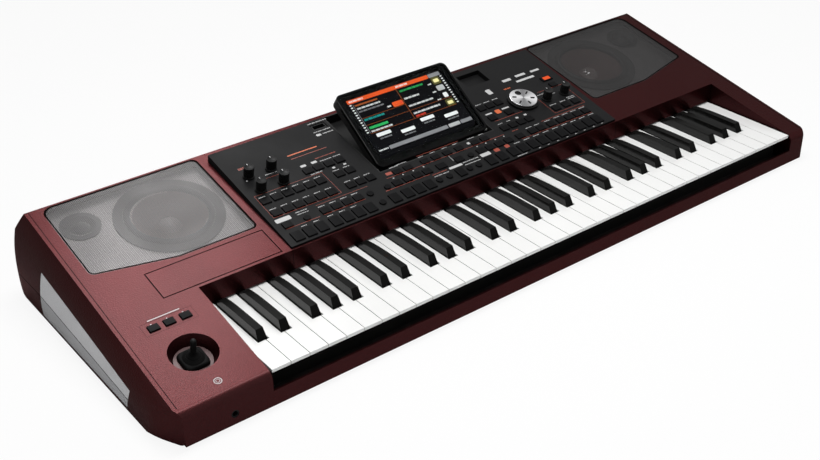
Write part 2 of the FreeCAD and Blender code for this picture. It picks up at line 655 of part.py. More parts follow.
cheek_slab_raw = side_prism("cheek_slab_raw", cheek_side, f"0 - {BODY} - 30", f"0 - {BODY}")
cheek_slab = rounded("cheek_slab", cheek_slab_raw, cheek_round)
CHEEK_IN = f"(0 - {BODY})"
CHEEK_OUT = f"({CHEEK_IN} - cheek_low - 3)"
cheek_plan_raw = plan_prism("cheek_plan_raw", [
    (CHEEK_IN, FRONT), (CHEEK_OUT, f"{FRONT} + cheek_taper"), (CHEEK_OUT, BACK), (CHEEK_IN, BACK),
], "0", "200")


def plan_round(edge, middle):
    if not upright(edge) or abs(middle.x - number(CHEEK_OUT)) > 1:
        return 0
    return number("cheek_corner") if middle.y < 0 else 6


cheek_plan = rounded("cheek_plan", cheek_plan_raw, plan_round)
cheek_raw = shared("cheek_raw", [cheek_loft, cheek_slab, cheek_plan])


# Outline of the wedge insert on the side of a cheek, smaller by a gap all round. Its corners
# are given as run behind the front face and height above the cheek's lower edge.
INSERT_FORE_LOW = ("89", "4.3")
INSERT_FORE_HIGH = ("82.5", "28.5")
INSERT_REAR_HIGH = ("293.5", "67.5")
INSERT_REAR_LOW = ("304", "4.3")


def wedge(name, gap):
    ends = [
        (INSERT_FORE_LOW, gap, gap), (INSERT_FORE_HIGH, gap, f"0 - {gap}"),
        (INSERT_REAR_HIGH, f"0 - {gap}", f"0 - {gap} * 1.4"), (INSERT_REAR_LOW, f"0 - {gap}", gap),
    ]
    corners = [(f"{FRONT} + {run} + {dy}", f"case_foot + {rise} + {dz}") for (run, rise), dy, dz in ends]
    return side_prism(name, corners, f"0 - {BODY} - 30", f"0 - {BODY} - 4")


inward = put(group("cheek_inward", [cheek_raw]), "insert_wall", "0", "0")
deeper = put(group("cheek_deeper", [cheek_raw]), "insert_wall + trim_gap", "0", "0")
insert_blank = shared("insert_blank", [cheek_raw, wedge("insert_wedge", "trim_gap")])
left_insert = cut("left_insert", insert_blank, inward)
seat_blank = shared("seat_blank", [cheek_raw, wedge("seat_wedge", "0")])
insert_seat = cut("insert_seat", seat_blank, deeper)
left_cheek = cut("LeftCheek", cheek_raw, insert_seat)
piece("left_cheek", left_cheek)


def mirrored(name, source):
    thing = new("Part::Mirroring", name)
    thing.Source = source
    thing.Normal = FreeCAD.Vector(1, 0, 0)
    return thing


piece("right_cheek", mirrored("RightCheek", left_cheek))
piece("side_inserts", group("SideInserts", [left_insert, mirrored("right_insert", left_insert)]))

# Speaker grilles, flush in the case top.
for side, hand in ((-1, "left"), (1, "right")):
    plate = grille_prism(f"{hand}_grille_plate", side, "0 - grille_gap", "0 - grille_wall", "0")
    piece(f"{hand}_grille", on_top(group(f"{hand}Grille", [plate])))

# Speakers: flanged baskets with magnets, and the cones, surrounds, caps and domes. A woofer
# keeps its proportions when its bay changes.
BASKET_FOOT = "(woofer_rad * 0.4545)"
BASKET_DEEP = "(woofer_rad * 0.4242)"
MAGNET_RAD = "(woofer_rad * 0.5455)"
MAGNET_DEEP = "(woofer_rad * 0.2727)"
CONE_DEEP = "(woofer_rad * 0.2576)"
THROAT = "(woofer_rad * 0.197)"
baskets = []
cones = []
for side, hand in ((-1, "left"), (1, "right")):
    x = f"{side} * {WOOFER_X}"
    v = WOOFER_V
    seat = "0 - tub_deep"
    flange = rod(f"{hand}_flange", "woofer_rad", "2", x, v, seat)
    frame = taper(f"{hand}_basket", BASKET_FOOT, "woofer_rad - 10", BASKET_DEEP, x, v,
                  f"{seat} - {BASKET_DEEP}")
    plate = rod(f"{hand}_magnet", MAGNET_RAD, MAGNET_DEEP, x, v, f"{seat} - {BASKET_DEEP} - {MAGNET_DEEP}")
    hollow = taper(f"{hand}_basket_hollow", f"{BASKET_FOOT} - 1.6", "woofer_rad - 11.6", f"{BASKET_DEEP} - 2",
                   x, v, f"{seat} - {BASKET_DEEP} + 2")
    mouth = rod(f"{hand}_flange_mouth", "woofer_rad - 11.6", "6", x, v, f"{seat} - 0.01")
    baskets.append(cut(f"{hand}_basket_cut", fuse(f"{hand}_basket_solid", [flange, frame, plate]),
                       fuse(f"{hand}_basket_tools", [hollow, mouth])))
    tx = f"{side} * {TWEETER_X}"
    tv = TWEETER_V
    rim = rod(f"{hand}_tweeter_rim", "tweeter_rad", "1.8", tx, tv, seat)
    can = rod(f"{hand}_tweeter_can", "tweeter_rad - 5", "16", tx, tv, f"{seat} - 16")
    well = taper(f"{hand}_tweeter_well", "12", "tweeter_rad - 6", "4", tx, tv, f"{seat} - 2")
    baskets.append(cut(f"{hand}_tweeter_cut", fuse(f"{hand}_tweeter_solid", [rim, can]), well))
    ring = new("Part::Torus", f"{hand}_surround")
    ring.setExpression("Radius1", bound("woofer_rad - 16.2"))
    ring.setExpression("Radius2", "4")
    put(ring, x, v, f"{seat} + 1.6")
    funnel = taper(f"{hand}_funnel", THROAT, "woofer_rad - 19", CONE_DEEP, x, v,
                   f"{seat} - 0.5 - {CONE_DEEP}")
    bowl = taper(f"{hand}_bowl", f"{THROAT} - 1.2", "woofer_rad - 20.2", f"{CONE_DEEP} + 0.2", x, v,
                 f"{seat} + 0.5 - {CONE_DEEP}")
    dome = new("Part::Sphere", f"{hand}_cap")
    dome.setExpression("Radius", bound(CONE_DEEP))
    put(dome, x, v, f"{seat} - 0.5 - {CONE_DEEP} * 1.353")
    keep = rod(f"{hand}_cap_keep", f"{THROAT} * 1.154", "20", x, v, f"{seat} - 0.4 - {CONE_DEEP}")
    cap = shared(f"{hand}_cap_dome", [dome, keep])
    coned = cut(f"{hand}_cone_shell", funnel, bowl)
    cones.append(fuse(f"{hand}_cone", [coned, ring, cap]))
    ball = new("Part::Sphere", f"{hand}_tweeter_ball")
    ball.setExpression("Radius", "13")
    put(ball, tx, tv, f"{seat} - 9")
    clip = rod(f"{hand}_tweeter_clip", "11.6", "12", tx, tv, f"{seat} - 2")
    cones.append(shared(f"{hand}_tweeter_dome", [ball, clip]))
piece("speaker_baskets", on_top(group("SpeakerBaskets", baskets)))
piece("speaker_cones", on_top(group("SpeakerCones", cones)))

# Control panel: a raised plate with a folded rim, pierced for every control.
lid = box("panel_lid", "0 - panel_half", "panel_half", "0", "panel_len", "0 - panel_rim", "0")
lid_hollow = box("panel_hollow", "panel_plate - panel_half", "panel_half - panel_plate", "panel_plate",
                 "panel_len - panel_plate", "0 - panel_rim - 1", "0 - panel_plate")
lid_shell = cut("panel_shell", lid, lid_hollow)
WELL = (beside(145.0), "(panel_len - well_back)")
well_cup = box("well_cup", f"{WELL[0]} - 22", f"{WELL[0]} + 22", f"{WELL[1]} - 15", f"{WELL[1]} + 15",
               "0 - 8.4", "0 - 1")
well_cut = box("well_cut", f"{WELL[0]} - 20.4", f"{WELL[0]} + 20.4", f"{WELL[1]} - 13.4",
               f"{WELL[1]} + 13.4", "0 - 7", "4")
panel_tools = [well_cut]
TRAY_HALF = "tray_half"
TRAY_FORE = "tray_start"
panel_tools.append(box("tray_opening", f"0 - {TRAY_HALF} - trim_gap", f"{TRAY_HALF} + trim_gap",
                       f"{TRAY_FORE} - trim_gap", "panel_len + 5", "0 - panel_rim - 2", "4"))
USB = (beside(-109.2), "(panel_len - usb_back)")
panel_tools.append(box("usb_slot", f"{USB[0]} - 11", f"{USB[0]} + 11", f"{USB[1]} - 5.4", f"{USB[1]} + 5.4",
                       "0 - 6", "4"))
for node, places in BUTTONS.items():
    for i, (x, v, wide, deep) in enumerate(places):
        panel_tools.append(box(
            f"{node}_hole_{i}", f"{x} - {wide} / 2 - button_gap", f"{x} + {wide} / 2 + button_gap",
            f"{v} - {deep} / 2 - button_gap", f"{v} + {deep} / 2 + button_gap", "0 - 6", "4"))
for node, places in ROUNDS.items():
    for i, (x, v) in enumerate(places):
        panel_tools.append(rod(f"{node}_hole_{i}", f"{ROUND_RAD} + button_gap", "10", x, v, "0 - 6"))
for node, (x, v) in KNOBS.items():
    panel_tools.append(rod(f"{node}_hole", "stem_rad + 1", "10", x, v, "0 - 6"))
panel_tools.append(rod("dial_hole", "stem_rad + 1", "10", DIAL_AT[0], DIAL_AT[1], "0 - 6"))
panel_solid = fuse("panel_solid", [lid_shell, well_cup])
piece("control_panel", on_panel(cut("ControlPanel", panel_solid, group("panel_tools", panel_tools))))

# Buttons, one sliding group for each section of the panel.
switches = []
for node, places in BUTTONS.items():
    caps = []
    for i, (x, v, wide, deep) in enumerate(places):
        caps.append(box(f"{node}_{i}", f"{x} - {wide} / 2", f"{x} + {wide} / 2", f"{v} - {deep} / 2",
                        f"{v} + {deep} / 2", "0 - button_root", "button_rise"))
        switches.append((x, v))
    piece(node, on_panel(group(node + "_caps", caps)))
for node, places in ROUNDS.items():
    caps = []
    for i, (x, v) in enumerate(places):
        caps.append(rod(f"{node}_{i}", ROUND_RAD, "button_root + button_rise", x, v, "0 - button_root"))
        switches.append((x, v))
    piece(node, on_panel(group(node + "_caps", caps)))
caps = []
for i, (x, v) in enumerate(ASSIGN):
    caps.append(box(f"assign_{i}", f"{x} - 6.25", f"{x} + 6.25", f"{v} - 4.6", f"{v} + 4.6",
                    "0 - button_root", "button_rise"))
piece("assign_buttons", on_top(group("AssignButtons", caps)))

# Rotary knobs with their stems, and the value dial with a finger dimple.
for node, (x, v) in KNOBS.items():
    cap = taper(node + "_cap", "knob_rad + 0.5", "knob_rad", "knob_rise - 1.2", x, v, "1.2")
    skirt = rod(node + "_skirt", "knob_skirt", "2", x, v, "0.6")
    stem = rod(node + "_stem", "stem_rad", "board_drop + 0.5", x, v, "1.5 - board_drop")
    mark = box(node + "_mark", f"{x} - 0.5", f"{x} + 0.5", v,
               f"{v} + knob_rad + 2", "knob_rise - 0.6", "knob_rise + 1")
    solid = fuse(node + "_solid", [cap, skirt, stem])
    piece(node, on_panel(cut(node + "_body", solid, mark)))
x, v = DIAL_AT
dial_rim = rod("dial_rim", "dial_rad", "3", x, v, "0.6")
dial_face = taper("dial_face", "dial_rad - 1.4", "dial_rad - 2.6", "dial_rise - 3.6", x, v, "3.6")
dial_stem = rod("dial_stem", "stem_rad", "board_drop + 0.5", x, v, "1.5 - board_drop")
dimple = rod("dial_dimple", "4.6", "3", x, f"{v} + dial_rad * 0.52", "dial_rise - 1.3")
piece("value_dial", on_panel(cut("ValueDial", fuse("dial_solid", [dial_rim, dial_face, dial_stem]), dimple)))

# Controls under the panel: switch board with its switches, and the rotary bodies.
INNER = "(panel_half - panel_plate - trim_gap)"
boards = [box("board_front", f"0 - {INNER}", INNER, "panel_plate + trim_gap",
              f"{TRAY_FORE} - trim_gap", "0 - board_drop - board_wall", "0 - board_drop")]
for side, hand in ((-1, "left"), (1, "right")):
    low = f"0 - {INNER}" if side < 0 else f"{TRAY_HALF} + trim_gap"
    high = f"0 - {TRAY_HALF} - trim_gap" if side < 0 else INNER
    boards.append(box(f"board_{hand}", low, high, "panel_plate + trim_gap",
                      "panel_len - panel_plate - trim_gap", "0 - board_drop - board_wall", "0 - board_drop"))
for i, (x, v) in enumerate(switches):
    boards.append(box(f"switch_{i}", f"{x} - 3", f"{x} + 3", f"{v} - 3",
                      f"{v} + 3", "0 - board_drop", "switch_rise - board_drop"))
usb_shell = cut("usb_shell", box("usb_outer", f"{USB[0]} - 10", f"{USB[0]} + 10", f"{USB[1]} - 4.6",
                                 f"{USB[1]} + 4.6", "0 - board_drop", "0 - 0.8"),
                box("usb_inner", f"{USB[0]} - 8.6", f"{USB[0]} + 8.6", f"{USB[1]} - 3.4",
                    f"{USB[1]} + 3.4", "1 - board_drop", "2"))
piece("panel_board", on_panel(fuse("PanelBoard", boards)))
pots = []
for node, (x, v) in list(KNOBS.items()) + [("dial", DIAL_AT)]:
    half = 7 if node == "dial" else 5.5
    body = box(node + "_pot", f"{x} - {half}", f"{x} + {half}", f"{v} - {half}",
               f"{v} + {half}", "0 - board_drop", "0 - panel_plate - trim_gap")
    bore = rod(node + "_bore", "stem_rad + run_gap", "12", x, v, "1 - board_drop")
    pots.append(cut(node + "_pot_cut", body, bore))
piece("rotary_bodies", on_panel(group("RotaryBodies", pots)))

# Display: tray in the panel, and a tilting unit of housing, bezel, glass and module.
tray_out = box("tray_out", f"0 - {TRAY_HALF}", TRAY_HALF, TRAY_FORE, "panel_len - 0.2",
               "0 - tray_deep - tray_wall", "0")
tray_in = box("tray_in", f"tray_wall - {TRAY_HALF}", f"{TRAY_HALF} - tray_wall", f"{TRAY_FORE} + tray_wall",
              "panel_len - 0.2 - tray_wall", "0 - tray_deep", "5")
tray_bore = rod("tray_bore", "hinge_rad + run_gap", f"2 * {TRAY_HALF} + 10", f"0 - {TRAY_HALF} - 5",
                "hinge_run", "0 - hinge_drop", ALONG_X)
piece("display_tray", on_panel(cut("DisplayTray", tray_out, fuse("tray_tools", [tray_in, tray_bore]))))
pins = []
for side, hand in ((-1, "left"), (1, "right")):
    start = f"0 - {TRAY_HALF} + 0.1" if side < 0 else "disp_half - 7.5"
    pins.append(rod(f"{hand}_hinge_pin", "hinge_rad", "7.4 + tray_gap + tray_wall", start, "hinge_run",
                    "0 - hinge_drop", ALONG_X))
piece("display_hinge_pins", on_panel(group("DisplayHingePins", pins)))

DISP_TOP = "(disp_len - disp_low)"
DISP_BACK = "(disp_front - disp_thick)"


def screen_corner(edge, middle):
    return 9 if upright(edge) else 0


bezel_box = rounded("bezel_box", box("bezel_raw", "0 - disp_half", "disp_half", "0 - disp_low", DISP_TOP,
                                     "disp_front - 5", "disp_front"), screen_corner)
glass_seat = box("glass_seat", "4 - disp_half - trim_gap", "disp_half - 4 + trim_gap",
                 "4 - disp_low - trim_gap", f"{DISP_TOP} - 4 + trim_gap",
                 "disp_front - 1.6", "disp_front + 2")
module_way = box("module_way", "12.5 - disp_half", "disp_half - 12.5", "19 - disp_low", f"{DISP_TOP} - 15",
                 "disp_front - 9", "disp_front")
bezel_tools = fuse("bezel_tools", [glass_seat, module_way])
piece("display_bezel", on_hinge(cut("DisplayBezel", bezel_box, bezel_tools)))
piece("display_glass", on_hinge(group("DisplayGlass", [box(
    "glass_sheet", "4 - disp_half", "disp_half - 4", "4 - disp_low", f"{DISP_TOP} - 4",
    "disp_front - 1.6", "disp_front - 0.1")])))
module_can = box("module_can", "10 - disp_half", "disp_half - 10", "16 - disp_low", f"{DISP_TOP} - 12",
                 f"{DISP_BACK} + 3", "disp_front - 5.2")
module_face = box("module_face", "12.5 - disp_half + trim_gap", "disp_half - 12.5 - trim_gap",
                  "19 - disp_low + trim_gap", f"{DISP_TOP} - 15 - trim_gap",
                  "disp_front - 6", "disp_front - 1.8")
piece("display_module", on_hinge(fuse("DisplayModule", [module_can, module_face])))
shell_box = rounded("housing_box", box("housing_raw", "0 - disp_half", "disp_half", "0 - disp_low", DISP_TOP,
                                       DISP_BACK, "disp_front - 5"), screen_corner)
shell_in = box("housing_hollow", "7 - disp_half", "disp_half - 7", "3 - disp_low", f"{DISP_TOP} - 7",
               f"{DISP_BACK} + 2.4", "disp_front")
lugs = [box(f"lug_{i}", low, high, "0 - disp_low", "disp_low", DISP_BACK, "disp_low")
        for i, (low, high) in enumerate((("0 - disp_half + 5", "14 - disp_half"),
                                         ("disp_half - 14", "disp_half - 5")))]
lug_bores = [rod("left_lug_bore", "hinge_rad + run_gap", "9", "0 - disp_half - 1", "0", "0", ALONG_X),
             rod("right_lug_bore", "hinge_rad + run_gap", "9", "disp_half - 8", "0", "0", ALONG_X)]
housing = cut("housing_shell", shell_box, shell_in)
piece("display_housing", on_hinge(cut("DisplayHousing", fuse("housing_solid", [housing] + lugs),
                                      fuse("housing_tools", lug_bores))))

# Joystick: base bracket, gimbal ring, stick and rubber boot below and in the well.
PIVOT = "(0 - joy_pivot)"
bracket = [box("joy_plate", f"{JOY_X} - 20", f"{JOY_X} + 20", f"{JOY_V} - 14", f"{JOY_V} + 14",
               f"{PIVOT} - 14", f"{PIVOT} - 12")]
for side in (-1, 1):
    mid = f"({JOY_X} + {side * 15})"
    bracket.append(box(f"joy_post_{side + 1}", f"{mid} - 2", f"{mid} + 2", f"{JOY_V} - 5", f"{JOY_V} + 5",
                       f"{PIVOT} - 13", "0 - joy_deep - 2"))
post_bore = rod("joy_post_bore", "1.5 + run_gap", "50", f"{JOY_X} - 25", JOY_V, PIVOT, ALONG_X)
piece("joystick_base", on_top(cut("JoystickBase", fuse("joy_bracket", bracket), post_bore)))
ring_out = box("gimbal_out", f"{JOY_X} - 10", f"{JOY_X} + 10", f"{JOY_V} - 10", f"{JOY_V} + 10",
               f"{PIVOT} - 3", f"{PIVOT} + 3")
ring_in = box("gimbal_in", f"{JOY_X} - 6.5", f"{JOY_X} + 6.5", f"{JOY_V} - 6.5", f"{JOY_V} + 6.5",
              f"{PIVOT} - 4", f"{PIVOT} + 4")
trunnion = rod("gimbal_pin", "1.5", "33", f"{JOY_X} - 16.5", JOY_V, PIVOT, ALONG_X)
ring_bore = rod("gimbal_bore", "1.2 + run_gap", "24", JOY_X, f"{JOY_V} - 12", PIVOT, ALONG_Y)
ring_body = fuse("gimbal_solid", [ring_out, trunnion])
piece("joystick_gimbal", on_top(cut("JoystickGimbal", ring_body, fuse("gimbal_tools", [ring_in, ring_bore]))))
hub = box("stick_hub", f"{JOY_X} - 4", f"{JOY_X} + 4", f"{JOY_V} - 4", f"{JOY_V} + 4",
          f"{PIVOT} - 4", f"{PIVOT} + 4")
stick_pin = rod("stick_pin", "1.2", "19", JOY_X, f"{JOY_V} - 9.5", PIVOT, ALONG_Y)
shaft = rounded("stick_shaft", rod("stick_rod", "stick_rad", "joy_rise + joy_pivot", JOY_X, JOY_V, PIVOT),
                lambda edge, middle: 2.6 if middle.z > 0 and not upright(edge) else 0)
skirt = taper("stick_skirt", "8.8", "stick_rad + 0.3", "5", JOY_X, JOY_V, f"{PIVOT} + 16.2")
piece("joystick_stick", on_top(fuse("JoystickStick", [hub, stick_pin, shaft, skirt])))
BOOT_HALF = "(joy_floor * 0.743)"
boot_foot = rounded("boot_foot", box("boot_foot_raw", f"{JOY_X} - {BOOT_HALF}", f"{JOY_X} + {BOOT_HALF}",
                                     f"{JOY_V} - {BOOT_HALF}", f"{JOY_V} + {BOOT_HALF}",
                                     "0 - joy_deep", "2.2 - joy_deep"),
                    lambda edge, middle: 6 if upright(edge) else 0)
boot_dome = taper("boot_dome", "12.8", "9.8", "4", JOY_X, JOY_V, "2 - joy_deep")
boot_bore = rod("boot_bore", "8.8", "12", JOY_X, JOY_V, "0 - joy_deep - 2")
piece("joystick_boot", on_top(cut("JoystickBoot", fuse("boot_solid", [boot_foot, boot_dome]), boot_bore)))

# Keys: one node for each note name, because the same moulding serves every octave.
WHITE = ["c", "d", "e", "f", "g", "a", "b"]
BLACK = [("c_sharp", 1, "0 - black_near"), ("d_sharp", 2, "black_near"), ("f_sharp", 4, "0 - black_far"),
         ("g_sharp", 5, "0"), ("a_sharp", 6, "black_far")]
KEY_Z = "(key_top - key_plate)"


def black_mid(octave, step, shift):
    return f"({KEYS_LEFT} + key_pitch * {octave * 7 + step} + {shift})"


def white_tail(octave, step):
    low = f"({KEYS_LEFT} + key_pitch * {octave * 7 + step} + key_gap / 2)"
    high = f"({KEYS_LEFT} + key_pitch * {octave * 7 + step + 1} - key_gap / 2)"
    for name, mark, shift in BLACK:
        if mark == step:
            low = f"({black_mid(octave, mark, shift)} + black_width / 2 + key_gap)"
        if mark == step + 1 and octave * 7 + mark < 36:
            high = f"({black_mid(octave, mark, shift)} - black_width / 2 - key_gap)"
    return low, high


bore_all = rod("key_bore", "rod_rad + run_gap", f"2 * {BODY}", f"0 - {BODY}", ROD_Y, ROD_Z, ALONG_X)
spring_at = []
note_keys = {}
for octave in range(6):
    for step, note in enumerate(WHITE):
        if octave * 7 + step > 35:
            continue
        tag = f"{note}_{octave}"
        left = f"{KEYS_LEFT} + key_pitch * {octave * 7 + step} + key_gap / 2"
        right = f"{KEYS_LEFT} + key_pitch * {octave * 7 + step + 1} - key_gap / 2"
        low, high = white_tail(octave, step)
        mid = f"(({low} + {high}) / 2)"
        head = box(f"head_{tag}", left, right, KEYS_FRONT, f"{KEYS_FRONT} + key_head - key_gap",
                   KEY_Z, "key_top")
        tail = box(f"tail_{tag}", low, high, f"{KEYS_FRONT} + key_head - 2", f"{KEYS_FRONT} + key_len",
                   KEY_Z, "key_top")
        rib = box(f"rib_{tag}", f"{mid} - rib_width / 2", f"{mid} + rib_width / 2", f"{KEYS_FRONT} + 22",
                  f"{KEYS_FRONT} + key_len", f"{KEY_Z} - rib_drop", f"{KEY_Z} + 1")
        note_keys.setdefault(note, []).append(fuse(f"key_{tag}", [head, tail, rib]))
        spring_at.append(mid)
    for note, step, shift in BLACK:
        if octave * 7 + step > 35:
            continue
        tag = f"{note}_{octave}"
        mid = black_mid(octave, step, shift)
        cap = new("Part::Wedge", f"cap_{tag}")
        reach = "key_len - key_head"
        for prop, word in (("Xmin", "0 - black_width / 2"), ("Xmax", "black_width / 2"),
                           ("X2min", "0 - black_top_width / 2"), ("X2max", "black_top_width / 2"),
                           ("Ymin", "0"), ("Ymax", "black_rise + key_plate"), ("Zmin", "0"), ("Zmax", reach),
                           ("Z2min", "0"), ("Z2max", f"{reach} - black_slope")):
            cap.setExpression(prop, bound(word))
        put(cap, mid, f"{KEYS_FRONT} + key_len", KEY_Z, ON_XZ)
        trim = box(f"trim_{tag}", f"{mid} - black_width", f"{mid} + black_width",
                   f"{FALL} + fall_wall + 6", f"{KEYS_FRONT} + key_len + 5", "key_top + 4", "key_top + 30")
        rib = box(f"rib_{tag}", f"{mid} - rib_width / 2", f"{mid} + rib_width / 2",
                  f"{KEYS_FRONT} + key_head + 8", f"{KEYS_FRONT} + key_len", f"{KEY_Z} - rib_drop",
                  f"{KEY_Z} + 1")
        note_keys.setdefault(note, []).append(cut(f"key_{tag}", fuse(f"key_blank_{tag}", [cap, rib]), trim))
        spring_at.append(mid)
for note, keys in note_keys.items():
    piece(f"keys_{note}", cut(f"Keys_{note}", group(f"keys_{note}_all", keys), bore_all))

# Key bed: steel frame with rod supports, pivot rod, springs, felts and contact board.
SUPPORTS = [f"({KEYS_LEFT} + key_pitch * {7 * k} + 0.8)" for k in range(6)]
SUPPORTS.append(f"({KEYS_RIGHT} - 4)")
BED = "(case_foot + lower_wall)"
bed = [
    box("bed_plate", f"{KEYS_LEFT} + 0.8", f"{KEYS_RIGHT} - 1", f"{KEYS_FRONT} + 14", f"{ROD_Y} + 8", BED,
        f"{BED} + 2"),
    box("bed_front_rail", f"{KEYS_LEFT} + 0.8", f"{KEYS_RIGHT} - 1", f"{KEYS_FRONT} + 20",
        f"{KEYS_FRONT} + 34", BED, "key_top - 24"),
    box("bed_mid_rail", f"{KEYS_LEFT} + 0.8", f"{KEYS_RIGHT} - 1", f"{KEYS_FRONT} + 104",
        f"{KEYS_FRONT} + 116", BED, f"{BED} + 8"),
]
for i, x in enumerate(SUPPORTS):
    bed.append(box(f"bed_support_{i}", x, f"{x} + 1.6", f"{ROD_Y} - 4", f"{ROD_Y} + 4",
                   BED, f"{ROD_Z} + 3.5"))
bed_bore = rod("bed_bore", "rod_rad + run_gap", f"2 * {BODY}", f"0 - {BODY}", ROD_Y, ROD_Z, ALONG_X)
piece("key_frame", cut("KeyFrame", fuse("bed_solid", bed), bed_bore))
piece("key_pivot_rod", group("KeyPivotRod", [rod(
    "pivot_rod", "rod_rad", f"36 * key_pitch - 2", f"{KEYS_LEFT} + 0.8", ROD_Y, ROD_Z, ALONG_X)]))
coils = []
for i, mid in enumerate(spring_at):
    coils.append(rod(f"coil_{i}", "rod_rad + 1.2", "1.8", f"{mid} + rib_width / 2 + 0.4",
                     ROD_Y, ROD_Z, ALONG_X))
coil_bore = rod("coil_bore", "rod_rad + 0.1", f"2 * {BODY}", f"0 - {BODY}", ROD_Y, ROD_Z, ALONG_X)
piece("key_return_springs", cut("KeyReturnSprings", group("coil_blanks", coils), coil_bore))
piece("key_stop_felt", group("KeyStopFelt", [box(
    "felt_strip", f"{KEYS_LEFT} + 1", f"{KEYS_RIGHT} - 1", f"{KEYS_FRONT} + 20.5", f"{KEYS_FRONT} + 33.5",
    "key_top - 24", "key_top - 22.2")]))
contact_sheet = box("contact_sheet", f"{KEYS_LEFT} + 2", f"{KEYS_RIGHT} - 2", f"{KEYS_FRONT} + 92",
                    f"{KEYS_FRONT} + 128", f"{BED} + 8", f"{BED} + 8 + board_wall")
contact_strip = box("contact_strip", f"{KEYS_LEFT} + 3", f"{KEYS_RIGHT} - 3", f"{KEYS_FRONT} + 106",
                    f"{KEYS_FRONT} + 114", f"{BED} + 8 + board_wall - 0.1", f"{BED} + 16")
piece("key_contact_board", fuse("KeyContactBoard", [contact_sheet, contact_strip]))

# Electronics on the floor behind the keys, and the sockets in the walls.
BOARD_Z = f"({BED} + 6)"
main_board = [box("main_sheet", "0 - 70", "220", BOARD_FORE, BOARD_REAR, BOARD_Z, f"{BOARD_Z} + board_wall")]
for i, (x, share, wide, deep, tall) in enumerate([(0, 0.29, 32, 32, 3), (70, 0.38, 26, 26, 3),
                                                  (60, 0.75, 40, 14, 3), (150, 0.52, 46, 30, 14),
                                                  (190, 0.8, 20, 20, 10)]):
    y = f"({BOARD_FORE} + ({BOARD_REAR} - {BOARD_FORE}) * {share})"
    main_board.append(box(f"chip_{i}", f"{x - wide / 2}", f"{x + wide / 2}", f"{y} - {deep / 2}",
                          f"{y} + {deep / 2}", BOARD_Z, f"{BOARD_Z} + board_wall + {tall}"))
piece("main_board", fuse("MainBoard", main_board))
SUPPLY_X = f"({BODY} - supply_side)"
SUPPLY_Y = f"({BACK} - supply_back)"
supply_tray = box("supply_tray", f"{SUPPLY_X} - 130", SUPPLY_X, f"{SUPPLY_Y} - 80", SUPPLY_Y,
                  BED, f"{BED} + 2")
supply_box = box("supply_box", f"{SUPPLY_X} - 122", f"{SUPPLY_X} - 8", f"{SUPPLY_Y} - 74", f"{SUPPLY_Y} - 6",
                 BED, f"{BED} + 30")
piece("power_supply", fuse("PowerSupply", [supply_tray, supply_box]))
sockets = []
for i, (x, z) in enumerate(JACKS):
    nut = rod(f"jack_nut_{i}", "5.4", "14", x, f"{BACK} - 14", z, ALONG_Y)
    bore = rod(f"jack_bore_{i}", "3.25", "20", x, f"{BACK} - 12", z, ALONG_Y)
    sockets.append(cut(f"jack_{i}", nut, bore))
for i, (x, z) in enumerate(DINS):
    cup = rod(f"din_cup_{i}", "9", "12", x, f"{BACK} - 12", z, ALONG_Y)
    bore = rod(f"din_bore_{i}", "7.4", "20", x, f"{BACK} - 8", z, ALONG_Y)
    sockets.append(cut(f"din_{i}", cup, bore))
usb_shell_rear = cut("usb_rear", box("usb_rear_out", "0 - 24", "0 - 12", f"{BACK} - 14", BACK,
                                     "socket_high - 5", "socket_high + 5"),
                     box("usb_rear_in", "0 - 22.6", "0 - 13.4", f"{BACK} - 12", f"{BACK} + 3",
                         "socket_high - 3.6", "socket_high + 3.6"))
sockets.append(usb_shell_rear)
inlet = cut("inlet", box("inlet_out", f"{INLET} - 25", f"{INLET} + 25", f"{BACK} - 22", BACK,
                         "socket_high - 11", "socket_high + 15"),
            box("inlet_in", f"{INLET} - 13", f"{INLET} + 13", f"{BACK} - 16", f"{BACK} + 4",
                "socket_high - 7", "socket_high + 11"))
sockets.append(inlet)
phones = cut("phones", rod("phones_nut", "4.3", "18", PHONES[0], f"{FRONT} + 0.4", PHONES[1], ALONG_Y),
             rod("phones_bore", "3.25", "15", PHONES[0], f"{FRONT} - 1", PHONES[1], ALONG_Y))
sockets.append(phones)
sockets.append(on_panel(group("panel_usb", [usb_shell])))
piece("sockets", group("Sockets", sockets))

doc.recompute()
bad = [thing.Name for thing in doc.Objects if "Invalid" in thing.State or "Error" in thing.State]
if bad:
    raise RuntimeError("failed objects: " + ", ".join(bad))
os.makedirs("parts", exist_ok=True)
whole = FreeCAD.BoundBox()
for node, thing in PARTS:
    shape = thing.Shape
    if shape.isNull() or not shape.isValid():
        raise RuntimeError("bad shape: " + node)
    shape.exportStep(f"parts/{node}.step")
    whole.add(shape.BoundBox)
    print(f"{node}: {len(shape.Solids)} solids, {shape.Volume / 1000:.1f} cm3")
print(f"{len(PARTS)} pieces, {whole.XLength:.1f} x {whole.YLength:.1f} x {whole.ZLength:.1f} mm")
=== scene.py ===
# %% [markdown]
# # An arranger keyboard, dressed for its portrait
# The imported CAD model is the frame of this scene: sixty nodes with real joints, in metres, standing
# on the floor. Everything below gives a node its finish or models a finer piece over it.

# %% Load the frame
import json
import math
import bmesh
import bpy
from mathutils import Matrix, Vector


